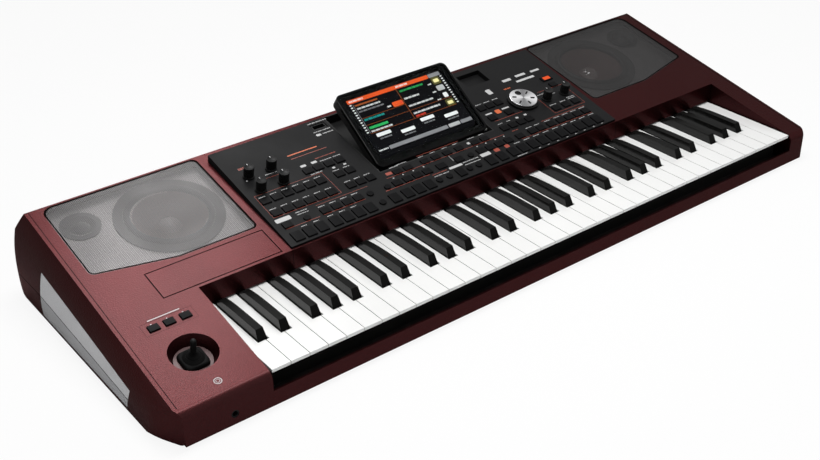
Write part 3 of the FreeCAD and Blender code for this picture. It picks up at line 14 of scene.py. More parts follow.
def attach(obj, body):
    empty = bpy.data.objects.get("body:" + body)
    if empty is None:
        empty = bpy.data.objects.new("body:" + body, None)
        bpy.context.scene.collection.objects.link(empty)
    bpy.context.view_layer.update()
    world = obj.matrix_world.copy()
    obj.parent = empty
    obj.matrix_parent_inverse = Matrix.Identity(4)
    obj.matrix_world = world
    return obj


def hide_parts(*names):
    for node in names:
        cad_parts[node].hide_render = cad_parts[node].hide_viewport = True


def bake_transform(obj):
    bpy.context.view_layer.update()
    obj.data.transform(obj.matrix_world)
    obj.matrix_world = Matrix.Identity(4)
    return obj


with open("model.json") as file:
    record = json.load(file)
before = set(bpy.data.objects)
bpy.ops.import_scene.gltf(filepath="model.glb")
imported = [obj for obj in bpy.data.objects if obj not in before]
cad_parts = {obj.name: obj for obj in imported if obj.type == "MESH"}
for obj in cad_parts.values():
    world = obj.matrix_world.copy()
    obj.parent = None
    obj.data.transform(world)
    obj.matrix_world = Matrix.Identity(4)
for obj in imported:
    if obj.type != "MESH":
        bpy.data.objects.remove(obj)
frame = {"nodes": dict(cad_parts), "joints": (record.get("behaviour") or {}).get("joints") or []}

nodes = frame["nodes"]
joints = {joint["name"]: joint for joint in frame["joints"]}
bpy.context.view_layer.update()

# %% [markdown]
# ## Three sloping planes
# Nearly everything sits on one of three slopes: the painted case top, the black control panel and
# the face of the display. Each could be typed in as an angle, but the joints already know it: a knob
# turns about the panel's normal, an assign button slides along the case top's, and the display tilts
# about its hinge. A matrix for each slope lets pieces be drawn flat, in millimetres, and then placed.

# %% Planes of the case top, the panel and the display
MM = 0.001
STICK_AT, STICK_PIVOT = Vector((-439.5, -81.61)), -20.0
VOLUME_AT = (-242.4, 131.0)
DIAL_AT, DIAL_HIGH = Vector((174.0, 93.0)), 6.95


def slope(through, flat_place, lean):
    turn = Matrix.Rotation(lean, 4, "X")
    origin = Vector(through) - turn @ (Vector(flat_place) * MM)
    return Matrix.Translation(origin) @ turn @ Matrix.Scale(MM, 4)


def lean_of(axis):
    return math.atan2(-axis[1], axis[2])


panel_lean = lean_of(joints["volume_knob_turn"]["axis"])
top_lean = lean_of([-part for part in joints["assign_buttons_press"]["axis"]])
screen_lean = panel_lean - math.radians(joints["display_tilt"]["range_deg"][0])
PANEL = slope(joints["volume_knob_turn"]["pos_m"], (*VOLUME_AT, 0.0), panel_lean)
TOP = slope(joints["joystick_side"]["pos_m"], (*STICK_AT, STICK_PIVOT), top_lean)
SCREEN = slope(joints["display_tilt"]["pos_m"], (0.0, 0.0, 0.0), screen_lean)
panel_back, top_back = PANEL.inverted(), TOP.inverted()
print("panel leans", round(math.degrees(panel_lean), 2), "display", round(math.degrees(screen_lean), 2))

# %% [markdown]
# ## Working by hand in code
# Operators act on what is selected, and the loaded nodes arrive selected. So the first helpers leave
# one object selected, open it for editing, and pick faces or edges by a test on their place.

# %% Selecting and editing
def fresh():
    if bpy.context.object and bpy.context.object.mode != "OBJECT":
        bpy.ops.object.mode_set(mode="OBJECT")
    bpy.ops.object.select_all(action="DESELECT")


def only(piece):
    fresh()
    piece.select_set(True)
    bpy.context.view_layer.objects.active = piece


def edit(piece):
    only(piece)
    bpy.ops.object.mode_set(mode="EDIT")


def done():
    bpy.ops.object.mode_set(mode="OBJECT")


def pick(kind, test):
    shape = bmesh.from_edit_mesh(bpy.context.object.data)
    bpy.ops.mesh.select_mode(type=kind)
    bpy.ops.mesh.select_all(action="DESELECT")
    for part in {"FACE": shape.faces, "EDGE": shape.edges, "VERT": shape.verts}[kind]:
        part.select_set(bool(test(part)))
    shape.select_flush_mode()
    bmesh.update_edit_mesh(bpy.context.object.data)


def pick_all():
    bpy.ops.mesh.select_all(action="SELECT")


def edit_all(piece):
    edit(piece)
    pick_all()


def open_edge(part):
    return len(part.link_faces) == 1


# %% Small moves that come back often
def draw_out(height):
    bpy.ops.mesh.extrude_region_move(TRANSFORM_OT_translate={"value": (0.0, 0.0, height)})


def round_off(radius, arcs):
    bpy.ops.mesh.bevel(offset=radius, segments=arcs, affect="EDGES")


def drop():
    bpy.ops.mesh.delete(type="FACE")


def open_middle(border):
    bpy.ops.mesh.inset(thickness=border)
    drop()


def cut(spot, way):
    pick_all()
    bpy.ops.mesh.bisect(plane_co=spot, plane_no=way)


def face_outward():
    pick_all()
    bpy.ops.mesh.normals_make_consistent(inside=False)


def begin(name):
    piece = bpy.context.object
    piece.name = name
    piece.data.name = name
    return piece


def square(name, size, place=(0.0, 0.0, 0.0)):
    fresh()
    bpy.ops.mesh.primitive_plane_add(size=size, location=place)
    return begin(name)


def settle(piece, plane=Matrix.Identity(4)):
    piece.data.transform(plane @ piece.matrix_world)
    piece.matrix_world = Matrix.Identity(4)
    piece.data.update()
    return piece


def join(pieces):
    only(pieces[0])
    for piece in pieces[1:]:
        piece.select_set(True)
    bpy.ops.object.join()
    return pieces[0]


def linked(name, data):
    piece = bpy.data.objects.new(name, data)
    bpy.context.collection.objects.link(piece)
    return piece


# %% [markdown]
# A node whose shape is right but whose edges are too crisp is copied, its loose triangles are merged
# back into whole faces, and a bevel takes the edges off. The weighted normals keep the flats flat. A
# face with a hole in it can't be one face, so pieces with openings keep their triangles.

# %% Copies with soft edges
def copy_of(node_name, name, flat_deg=0.5):
    piece = linked(name, nodes[node_name].data.copy())
    piece.data.name = name
    edit_all(piece)
    bpy.ops.mesh.remove_doubles(threshold=2e-6)
    bpy.ops.mesh.customdata_custom_splitnormals_clear()
    if flat_deg:
        bpy.ops.mesh.dissolve_limited(angle_limit=math.radians(flat_deg))
    done()
    return piece


def change(piece, kind, **settings):
    modifier = piece.modifiers.new(kind.capitalize(), kind)
    for label, value in settings.items():
        setattr(modifier, label, value)
    only(piece)
    bpy.ops.object.modifier_apply(modifier=modifier.name)


def soften(piece, width, segments=2, angle=32):
    change(piece, "BEVEL", width=width, segments=segments, limit_method="ANGLE", angle_limit=math.radians(angle))
    return piece


def smooth(piece, angle=34, weighted=True):
    only(piece)
    bpy.ops.object.shade_smooth_by_angle(angle=math.radians(angle))
    if weighted:
        change(piece, "WEIGHTED_NORMAL", keep_sharp=True)
    return piece


# %% Giving a piece its finish and its body
def fit(piece, body, finish_for, slot, *stands_for):
    piece.data.materials.clear()
    piece.data.materials.append(finish_for)
    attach(piece, body)
    if stands_for:
        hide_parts(*stands_for)
    print(piece.name, "has", len(piece.data.polygons), "faces and rides on", body)
    return piece


def recolour(piece, shades, shade_of):
    for shade in shades:
        piece.data.materials.append(shade)
    for face in piece.data.polygons:
        face.material_index = shade_of(face)
    print(piece.name, "has", sum(1 for face in piece.data.polygons if face.material_index), "faces in other colours")


def dress(finish_for, *names):
    for name in names:
        nodes[name].data.materials.clear()
        nodes[name].data.materials.append(finish_for)


# %% [markdown]
# ## Shared surface effects
# Three small groups serve most finishes. Grain is the faint mottle and texture of moulded plastic.
# Flake is the sparkle of metallic paint over a fine hide-like crease. Handling varies how polished a
# surface is from place to place, as fingers and cloths leave it. Each is a shader group, so every
# finish sets its own scale.

# %% Building with shader nodes
def wire(tree, target, inputs):
    for label, item in inputs.items():
        if isinstance(item, bpy.types.NodeSocket):
            tree.links.new(item, target.inputs[label])
        else:
            target.inputs[label].default_value = item


def node(tree, kind, inputs, **settings):
    made = tree.nodes.new("ShaderNode" + kind)
    for label, value in settings.items():
        setattr(made, label, value)
    wire(tree, made, inputs)
    return made


def noise(tree, vector, scale, detail=3.0):
    return node(tree, "TexNoise", {"Vector": vector, "Scale": scale, "Detail": detail}).outputs["Fac"]


def remap(tree, value, low, high, start=0.3, end=0.7):
    return node(tree, "MapRange", {"Value": value, "From Min": start, "From Max": end, "To Min": low,
                                   "To Max": high}).outputs["Result"]


def blend_colour(tree, factor, first, second):
    return node(tree, "Mix", {"Factor": factor, 6: first, 7: second}, data_type="RGBA").outputs[2]


COLOUR, NUMBER, VECTOR = "NodeSocketColor", "NodeSocketFloat", "NodeSocketVector"


def node_group(name, scale, inputs, outputs):
    group = bpy.data.node_groups.new(name, "ShaderNodeTree")
    for label, kind in (("Vector", VECTOR), ("Scale", NUMBER), *inputs):
        socket = group.interface.new_socket(label, in_out="INPUT", socket_type=kind)
        if label == "Scale":
            socket.default_value = scale
    for label, kind in outputs:
        group.interface.new_socket(label, in_out="OUTPUT", socket_type=kind)
    return group, group.nodes.new("NodeGroupInput").outputs, group.nodes.new("NodeGroupOutput")


# %% Node groups for grain, flake and handling
SURFACE = [("Colour", COLOUR), ("Height", NUMBER)]
grain_group, given, result = node_group("Grain", 900.0, [("Dark", COLOUR), ("Light", COLOUR)], SURFACE)
fine = noise(grain_group, given["Vector"], given["Scale"])
broad = remap(grain_group, noise(grain_group, given["Vector"], 9.0, 2.0), 0.0, 0.55)
both = node(grain_group, "Math", {0: fine, 1: 0.45, 2: broad}, operation="MULTIPLY_ADD").outputs[0]
wire(grain_group, result, {"Colour": blend_colour(grain_group, both, given["Dark"], given["Light"]), "Height": fine})

flake_group, given, result = node_group("Flake", 1400.0, [("Paint", COLOUR), ("Spark", COLOUR)], SURFACE)
chips = node(flake_group, "TexVoronoi", {"Vector": given["Vector"], "Scale": given["Scale"]})
bright = node(flake_group, "SeparateColor", {"Color": chips.outputs["Color"]}).outputs
spark = remap(flake_group, bright["Red"], 0.0, 1.0, 0.35, 1.0)
hide = node(flake_group, "TexVoronoi", {"Vector": given["Vector"], "Scale": 360.0}, feature="DISTANCE_TO_EDGE")
crease = remap(flake_group, hide.outputs["Distance"], 0.0, 1.6, 0.0, 0.3)
creased = node(flake_group, "Math", {0: bright["Green"], 1: 0.25, 2: crease}, operation="MULTIPLY_ADD").outputs[0]
wire(flake_group, result, {"Colour": blend_colour(flake_group, spark, given["Paint"], given["Spark"]),
                           "Height": creased})

handling_group, given, result = node_group(
    "Handling", 25.0, [("Polished", NUMBER), ("Dull", NUMBER)], [("Roughness", NUMBER)])
patches = noise(handling_group, given["Vector"], given["Scale"], 5.0)
wire(handling_group, result, {"Roughness": remap(handling_group, patches, given["Polished"], given["Dull"])})
print("groups:", [group.name for group in bpy.data.node_groups])

# %% [markdown]
# A finish is a Principled shader fed by these groups. Values that are the same all over the surface,
# such as the specular level, sit on the shader itself. A colour is three numbers, or one for a grey.

# %% One way to make a finish
def rgba(colour):
    return (*colour, 1.0) if isinstance(colour, tuple) else (colour, colour, colour, 1.0)


def blank(name):
    material = bpy.data.materials.new(name)
    material.use_nodes = True
    return material, material.node_tree, material.node_tree.nodes["Principled BSDF"]


def finish(name, dark, light, polished=0.3, dull=0.42, grain=900.0, bump=0.1, depth=0.00003, metal=0.0,
           specular=0.5, coat=0.0, kind=None, patch=25.0, edge=1.0):
    material, tree, shader = blank(name)
    place = node(tree, "TexCoord", {}).outputs["Object"]
    surface = node(tree, "Group", {"Vector": place, "Scale": grain, 2: rgba(dark), 3: rgba(light)},
                   node_tree=kind or grain_group)
    worn = node(tree, "Group", {"Vector": place, "Scale": patch, "Polished": polished, "Dull": dull},
                node_tree=handling_group)
    relief = node(tree, "Bump", {"Strength": bump, "Distance": depth, "Height": surface.outputs["Height"]})
    wire(tree, shader, {
        "Base Color": surface.outputs["Colour"], "Roughness": worn.outputs["Roughness"],
        "Normal": relief.outputs["Normal"], "Metallic": metal, "Specular IOR Level": specular,
        "Specular Tint": rgba(edge), "Coat Weight": coat, "Coat Roughness": 0.25})
    return material


# %% Paint and plastics
burgundy = finish(
    "burgundy metallic paint", (0.0247, 0.0056, 0.0061), (0.047, 0.0108, 0.0116), 0.35, 0.40, 4800.0, 0.65, 0.00007,
    metal=0.95, specular=0.2, coat=0.10, kind=flake_group, patch=14.0, edge=(0.40, 0.14, 0.14))
panel_black = finish(
    "satin black panel", (0.0055, 0.0055, 0.0057), (0.0095, 0.0095, 0.0099), 0.48, 0.58, 1500.0, 0.2, specular=0.05)
button_black = finish(
    "button black", (0.003, 0.003, 0.0033), (0.006, 0.006, 0.0066), 0.36, 0.46, 1700.0, 0.15, specular=0.025)
knob_black = finish("knob black", 0.003, 0.006, 0.4, 0.55, 1500.0, 0.2, specular=0.08)
gloss_black = finish("gloss black bezel", (0.0018, 0.0018, 0.002), 0.003, 0.06, 0.12, 300.0, 0.0, specular=0.05)
tray_black = finish("tray black", 0.005, 0.010, 0.45, 0.6, 1200.0, 0.2, specular=0.1)
ivory_white = finish(
    "white key plastic", (0.80, 0.80, 0.79), (0.88, 0.88, 0.87), 0.16, 0.26, 500.0, 0.02, specular=0.35)
EBONY = ((0.004, 0.004, 0.0038), (0.008, 0.008, 0.0076))
ebony_black = finish("black key plastic", *EBONY, 0.3, 0.4, 1200.0, 0.15, specular=0.02)
ebony_side = finish("black key side", *EBONY, 0.12, 0.2, 1200.0, 0.05, specular=0.4)
soft_rubber = finish("soft black rubber", 0.002, 0.004, 0.55, 0.75, 700.0, 0.3, specular=0.06)
# A lighter copy of the paint for the well's floor: a painted pool of light round the boot.
well_floor_painted_light = finish(
    "joystick well floor painted light", (0.050, 0.026, 0.026), (0.080, 0.044, 0.044), 0.45, 0.55, 2600.0, 0.2, metal=0.4,
    kind=flake_group)
# Near black for dark joints, and also painted shade in the name plate's groove and round the grilles.
seam_and_shade_black = finish("seam shadow", (0.001, 0.0006, 0.0006), (0.003, 0.002, 0.002), 0.7, 0.9, 900.0, 0.1, specular=0.03)
print(len(bpy.data.materials), "materials so far")

# %% Metals, and what lies behind the grilles and inside
grille_steel = finish(
    "painted grille steel", (0.032, 0.031, 0.031), (0.046, 0.0445, 0.0445), 0.32, 0.38, 1400.0, 0.1, metal=0.85,
    specular=0.4)
INSERT = {"polished": 0.38, "dull": 0.48, "grain": 3600.0, "bump": 0.2, "metal": 0.35, "kind": flake_group}
# The brighter copy is painted light for the inserts' upper facet; the silver one is their plain colour.
insert_painted_lit = finish("side insert painted lit", (0.46, 0.46, 0.47), (0.58, 0.58, 0.59), **INSERT)
insert_silver = finish("silver side insert", (0.27, 0.27, 0.28), (0.36, 0.36, 0.37), **INSERT)
dial_silver = finish("silver dial", (0.66, 0.66, 0.67), (0.78, 0.78, 0.79), 0.24, 0.32, 600.0, 0.08, metal=0.95)
bare_steel = finish("zinc plated steel", (0.45, 0.45, 0.44), (0.6, 0.6, 0.58), 0.28, 0.45, 800.0, 0.1, metal=1.0)
# The key bed and the key felt are made near black as painted shade: they lie in the shaded gap under the keys.
bed_steel_painted_shade = finish("key bed steel painted shade", 0.006, 0.014, 0.5, 0.7, 800.0, 0.2, specular=0.12)
board_green = finish("green circuit board", (0.01, 0.07, 0.03), (0.02, 0.11, 0.05), 0.3, 0.45, 400.0, 0.1)
felt_painted_shade = finish(
    "key felt painted shade", (0.008, 0.006, 0.006), (0.020, 0.015, 0.015), 0.85, 0.95, 1800.0, 0.8, 0.0002, specular=0.05)
cone_paper = finish(
    "speaker cone paper", (0.075, 0.043, 0.039), (0.115, 0.070, 0.064), 0.6, 0.8, 500.0, 0.5, 0.0001, specular=0.1)
cap_silk = finish("speaker cap silk", (0.16, 0.115, 0.11), (0.24, 0.18, 0.172), 0.08, 0.12, 700.0, 0.05, specular=0.9)
surround_rubber = finish("speaker surround rubber", 0.008, 0.018, 0.5, 0.65, 700.0, 0.3, specular=0.25)
basket_grey = finish("speaker basket grey", 0.020, 0.034, 0.45, 0.6, 900.0, 0.2, specular=0.15)
tub_grey = finish(
    "speaker tub grey", (0.14, 0.131, 0.131), (0.19, 0.178, 0.178), 0.32, 0.40, 1400.0, 0.1, metal=0.85, specular=0.4)
print(len(bpy.data.materials), "materials with the metals")

# %% [markdown]
# The value dial's turned face shines in two fans, because its fine grooves run round the middle. The
# surroundings here are an even white with nothing dark to mirror, so the fans are painted reflection,
# a dark and a light fan in the colour. They lie across the view. The rim is black.

# %% Painted reflection fans on the dial
FACE_REACH, ACROSS_VIEW = 19.8, (0.80, -0.60, 0.0)
spun = dial_silver.node_tree
spun_shader = spun.nodes["Principled BSDF"]
silver = spun_shader.inputs["Base Color"].links[0].from_socket
from_middle = node(spun, "VectorMath", {
    0: spun.nodes["Texture Coordinate"].outputs["Object"], 1: PANEL @ Vector((*DIAL_AT, DIAL_HIGH))},
    operation="SUBTRACT").outputs["Vector"]
outward = node(spun, "VectorMath", {0: from_middle}, operation="NORMALIZE").outputs["Vector"]
sideways = node(spun, "VectorMath", {0: outward, 1: ACROSS_VIEW}, operation="DOT_PRODUCT").outputs["Value"]
fans = node(spun, "Math", {0: sideways, 1: sideways}, operation="MULTIPLY").outputs[0]
away = node(spun, "VectorMath", {0: from_middle}, operation="LENGTH").outputs["Value"]
rim = node(spun, "Math", {0: away, 1: FACE_REACH * MM}, operation="GREATER_THAN").outputs[0]
# The dark fans are painted reflection, laid into the silver colour.
fan_reflected_silver = blend_colour(spun, fans, rgba((0.19, 0.19, 0.195)), silver)
wire(spun, spun_shader, {"Base Color": blend_colour(spun, rim, fan_reflected_silver, rgba(0.004))})
print("dial face reaches", FACE_REACH, "mm")

# %% [markdown]
# Printing on the panel and the picture on the display are inks and lit pixels: flat and plain up
# close, but not perfectly even, so their colour still runs through the grain group.

# %% Inks and lit colours
def times(colour, share):
    return tuple(part * share for part in colour)


def ink(name, colour, spread=0.12):
    return finish(name, times(colour, 1.0 - spread), colour, 0.4, 0.55, 2500.0, 0.05, specular=0.3)


def lit(name, colour, strength=1.0):
    material = ink(name, times(colour, 0.2))
    tree = material.node_tree
    glow = node(tree, "Group", {
        "Vector": tree.nodes["Texture Coordinate"].outputs["Object"], "Scale": 1500.0,
        "Dark": rgba(times(colour, 0.85)), "Light": rgba(colour)}, node_tree=grain_group)
    wire(tree, tree.nodes["Principled BSDF"], {
        "Emission Color": glow.outputs["Colour"], "Emission Strength": strength, "Specular IOR Level": 0.0})
    return material


ink_white = ink("white ink", (0.52, 0.52, 0.52))
ink_red = ink("red ink", (0.30, 0.045, 0.022))
ink_orange = ink("orange ink", (0.62, 0.12, 0.03))
print("inks ready")

# %% [markdown]
# ## Painted case
# The body is one burgundy moulding with a flake paint, and the end cheeks are separate mouldings in
# the same paint. Their shapes come from the CAD model, apart from the fallboard, whose lower edge
# comes further down, to just above the white keys. They are copied, so that the cheeks' bulge can be
# shaded smoothly and the edges catch a thin line of light, as the real ones do. The groove round the
# name plate is painted dark, as painted shade. The floor of the joystick well is painted lighter, as
# painted light, and the floors of the speaker tubs have a colour of their own.

# %% Case and cheeks
FALL_FACE, FALL_EDGE, FALL_DROP = -0.0354, 0.0608, 0.0105
PLATE_LEFT, PLATE_RIGHT, PLATE_FRONT, PLATE_REAR = -429.0, -275.0, 3.2, 48.8
WELL_REACH, WELL_DEEP, TUB_DEEP, TUB_INNER, TUB_FRONT = 20.9, 12.95, 10.5, 280.0, 45.0


def case_shade(face):
    centre = top_back @ face.center
    on_plate = PLATE_LEFT < centre.x < PLATE_RIGHT and PLATE_FRONT < centre.y < PLATE_REAR
    # The name plate's groove: painted shade in the groove.
    if on_plate and -1.0 < centre.z < -0.1:
        return 1
    # The joystick well's floor: painted light.
    if (centre.to_2d() - STICK_AT).length < WELL_REACH and abs(centre.z + WELL_DEEP) < 0.35:
        return 2
    in_tub = abs(centre.x) > TUB_INNER and centre.y > TUB_FRONT
    return 3 if in_tub and abs(centre.z + TUB_DEEP) < 0.3 else 0


dress(burgundy, "lower_case")
shell = copy_of("upper_case", "painted_case", 0.0)
edit(shell)
pick("VERT", lambda part: abs(part.co.z - FALL_EDGE) < 0.0003 and FALL_FACE - 0.0003 < part.co.y < FALL_FACE + 0.006)
bpy.ops.transform.translate(value=(0.0, 0.0, -FALL_DROP))
done()
soften(shell, 0.6 * MM, 2, 50)
fit(smooth(shell, 40), "case", burgundy, "case_paint", "upper_case")
recolour(shell, (seam_and_shade_black, well_floor_painted_light, tub_grey), case_shade)
cheeks = []
for side in ("left", "right"):
    cheek = soften(copy_of(f"{side}_cheek", f"{side}_cheek_shell", 0.2), 0.9 * MM, 3, 40)
    cheeks.append(fit(smooth(cheek, 40), "case", burgundy, "cheek_paint", f"{side}_cheek"))
inserts = soften(copy_of("side_inserts", "silver_inserts", 0.2), 0.4 * MM, 2, 40)
fit(smooth(inserts, 40), "case", insert_silver, "insert_grey", "side_inserts")


# %% [markdown]
# A fine joint runs along each insert and another from its rear end to the back of the cheek. Two
# cuts close together leave a narrow strip between them, and the strip takes the colour of a shadow.
# Above its joint the insert is painted brighter: painted light on the upper facet, which faces the light.

# %% Joint lines on the ends
LINE_HALF = 0.55 * MM


def joint_line(piece, spot, along, test, upper=None):
    across_line = Vector((0.0, -along[2], along[1])).normalized()

    def shade(face):
        height = (face.center - spot).dot(across_line)
        if abs(height) < LINE_HALF and test(face.center):
            return 1
        return 2 if upper and height > 0.0 else 0

    edit(piece)
    for side in (-1, 1):
        cut(spot + across_line * LINE_HALF * side, across_line)
    done()
    recolour(piece, (seam_and_shade_black, upper) if upper else (seam_and_shade_black,), shade)


# Above this joint the insert takes the painted light colour.
joint_line(inserts, Vector((0.0, 0.1161, 0.0396)), (0.0, 0.213, 0.0186), lambda spot: True, insert_painted_lit)
for cheek in cheeks:
    joint_line(cheek, Vector((0.0, 0.1767, 0.0400)), (0.0, 1.0, 0.0),
               lambda spot: spot.y > 0.119 and abs(spot.x) > 0.495)

# %% Finishes of the nodes that stay as they are
dress(bare_steel, "case_screws", "key_pivot_rod", "key_return_springs", "display_hinge_pins", "power_supply",
      "rotary_bodies")
# Key bed and felt in near black: painted shade under the keys.
dress(bed_steel_painted_shade, "key_frame")
dress(soft_rubber, "rubber_feet")
dress(board_green, "panel_board", "main_board", "key_contact_board")
dress(felt_painted_shade, "key_stop_felt")
dress(tray_black, "display_tray", "joystick_base", "joystick_gimbal", "sockets")
dress(basket_grey, "speaker_baskets")
dress(panel_black, "control_panel")
print("plain nodes dressed")

# %% [markdown]
# The speakers show faintly through the grilles, so their parts have different colours: a dark rubber
# surround, a paper cone and a lighter cap. One node holds them all, so each face is sorted by how far
# it lies from its woofer's middle, which is the middle of the ring at the surround's height. All that
# lies further out, the tweeter too, is dark.

# %% Speaker cones
SURROUND, CAP_SHARE = 8.5, 0.30


def span_of(spots):
    low = Vector((min(spot.x for spot in spots), min(spot.y for spot in spots)))
    high = Vector((max(spot.x for spot in spots), max(spot.y for spot in spots)))
    return low, high


def woofer_of(hand):
    spots = [top_back @ corner.co for corner in cones.data.vertices]
    low, high = span_of([spot for spot in spots if spot.z > -9.0 and spot.x * hand > 0 and abs(spot.x) < 430.0])
    return (low + high) / 2.0, (high.x - low.x) / 2.0


def cone_shade(face):
    centre = top_back @ face.center
    middle, reach = woofers[centre.x > 0]
    away = (centre.to_2d() - middle).length
    return 1 if away > reach - SURROUND else 2 if away < reach * CAP_SHARE else 0


cones = copy_of("speaker_cones", "speaker_fronts", 0.2)
fit(smooth(cones, 50, False), "case", cone_paper, "cone", "speaker_cones")
woofers = [woofer_of(hand) for hand in (-1, 1)]
recolour(cones, (surround_rubber, cap_silk), cone_shade)
print("woofers reach", [round(reach, 1) for _, reach in woofers], "mm")

# %% [markdown]
# ## Keys
# The white keys are glossy plastic plates and the black ones satin wedges. A small bevel is what
# makes a row of keys read as separate mouldings, so each note's node is copied and softened.

# %% White keys
for note in ("c", "d", "e", "f", "g", "a", "b"):
    row = soften(copy_of(f"keys_{note}", f"white_keys_{note}"), 0.5 * MM)
    fit(smooth(row), f"keys_{note}", ivory_white, "white_key", f"keys_{note}")

# %% [markdown]
# A black key isn't straight: its top bows down towards the rear and drops under the edge of the
# fallboard. The caps are cut across at the places of a short table, and the table's drops, which are
# for the full height of a cap, are shared out over its height. The sides are glossier than the top.

# %% Black keys
KEY_TOP, CAP_RISE = 0.048, 11.0
BOW = [(-95.0, 0.0), (-80.0, 0.2), (-65.0, 0.8), (-54.0, 1.7), (-47.0, 2.7), (-42.5, 4.0), (-39.5, 6.0), (-37.0, 9.4)]


def bow_drop(y):
    for (start, first), (end, second) in zip(BOW, BOW[1:]):
        if y <= end:
            return first + (second - first) * max(0.0, y - start) / (end - start)
    return BOW[-1][1]


def bowed(row):
    edit(row)
    for y, _ in BOW:
        cut((0.0, y * MM, 0.0), (0.0, 1.0, 0.0))
    done()
    for corner in row.data.vertices:
        rise = corner.co.z - KEY_TOP
        if rise > 0.0:
            corner.co.z -= rise * bow_drop(corner.co.y / MM) / CAP_RISE
    return row


for note in ("c_sharp", "d_sharp", "f_sharp", "g_sharp", "a_sharp"):
    row = soften(bowed(copy_of(f"keys_{note}", f"black_keys_{note}")), 0.9 * MM, 3)
    fit(smooth(row), f"keys_{note}", ebony_black, "black_key", f"keys_{note}")
    recolour(row, (ebony_side,), lambda face: int(abs(face.normal.x) > 0.8 and face.center.z > KEY_TOP))

# %% [markdown]
# ## Perforated grilles
# A speaker grille is steel sheet punched with thousands of small square holes inside a plain border.
# A bump pattern would look flat and hide the speakers, so the sheet is modelled: one square cell with
# a hole and two arrays. Faces outside the outline are dropped, and a dark ring, cut from a copy of the
# CAD plate, lies round the edge a little above the sheet: painted shade for the gap round the grille.

# %% Inside an outline or not
def inside(spot, outline):
    hits = False
    for first, second in zip(outline, outline[1:] + outline[:1]):
        if (first.y > spot.y) != (second.y > spot.y):
            cross = first.x + (spot.y - first.y) * (second.x - first.x) / (second.y - first.y)
            if spot.x < cross:
                hits = not hits
    return hits


# %% Painted gap shade and punched sheet
PITCH, HALF_HOLE, RIM, MARGIN = 2.0, 0.70, 1.5, 2.6
GAP_SHADE_THICK, SHEET_THICK, SHEET_LOW = 0.5, 0.35, -0.5


def grille_gap_shade(side):
    border = copy_of(f"{side}_grille", f"{side}_grille_gap_shade", 0.2)
    up = (TOP.to_3x3() @ Vector((0, 0, 1))).normalized()
    face = max((face for face in border.data.polygons if face.normal.dot(up) > 0.999), key=lambda face: face.area)
    outline = [(top_back @ border.data.vertices[index].co).to_2d() for index in face.vertices]
    keep = face.index
    edit(border)
    shape = bmesh.from_edit_mesh(border.data)
    shape.faces.ensure_lookup_table()
    chosen = shape.faces[keep]
    pick("FACE", lambda part: part is not chosen)
    drop()
    pick_all()
    open_middle(RIM * MM)
    done()
    change(border, "SOLIDIFY", thickness=GAP_SHADE_THICK * MM, offset=-1.0)
    return border, outline


def punched_sheet(side, outline):
    low, high = span_of(outline)
    size = high - low
    sheet = square(f"{side}_grille_sheet", PITCH, (low.x, low.y, 0.0))
    edit_all(sheet)
    open_middle(PITCH / 2.0 - HALF_HOLE)
    done()
    for length, way in ((size.x, (PITCH, 0.0, 0.0)), (size.y, (0.0, PITCH, 0.0))):
        change(sheet, "ARRAY", count=math.ceil(length / PITCH), use_relative_offset=False, use_constant_offset=True,
               constant_offset_displace=way, use_merge_vertices=True, merge_threshold=0.01)
    settle(sheet)
    middle = (low + high) / 2.0
    shrunk = [middle + (spot - middle) * (1.0 - MARGIN / size.x) for spot in outline]
    edit(sheet)
    pick("FACE", lambda part: not inside(part.calc_center_median().to_2d(), shrunk))
    drop()
    pick_all()
    bpy.ops.mesh.remove_doubles(threshold=0.01)
    face_outward()
    done()
    sheet.data.transform(Matrix.Translation((0.0, 0.0, SHEET_LOW)))
    change(sheet, "SOLIDIFY", thickness=SHEET_THICK, offset=-1.0)
    bpy.ops.object.shade_flat()
    return settle(sheet, TOP)


for side in ("left", "right"):
    border, outline = grille_gap_shade(side)
    # The dark ring round the sheet is painted shade for the gap between grille and case.
    fit(smooth(border, 30), "case", seam_and_shade_black, "grille_mesh", f"{side}_grille")
    fit(punched_sheet(side, outline), "case", grille_steel, "grille_mesh")

# %% [markdown]
# ## Buttons
# Every button cap is a small moulding with softened edges. The caps of one section are one node and
# slide together, so each section is one softened copy.

# %% Button caps
for section in ("style", "mode", "upper_row", "lower_row", "page", "song", "voice", "round", "assign"):
    caps = soften(copy_of(f"{section}_buttons", f"{section}_button_caps"), 0.7 * MM, 2, 50)
    fit(smooth(caps, 40), f"{section}_buttons", button_black, "button_black", f"{section}_buttons")

# %% [markdown]
# ## Knobs and dial
# A knob is a ribbed cylinder on a thin skirt, with a white pointer. One is modelled: a cylinder
# whose every second side face is pushed in, with a dished top. It is then copied to the six places.

# %% One ribbed knob
KNOB_REACH, KNOB_LOW, KNOB_TOP = 6.5, 1.2, 16.0
SKIRT_REACH, SKIRT_LOW, SKIRT_TOP = 7.4, 0.6, 2.6


def cylinder(name, radius, low, high):
    fresh()
    bpy.ops.mesh.primitive_cylinder_add(vertices=36, radius=radius, depth=high - low,
                                        location=(0.0, 0.0, (low + high) / 2.0), end_fill_type="NGON")
    return settle(begin(name))


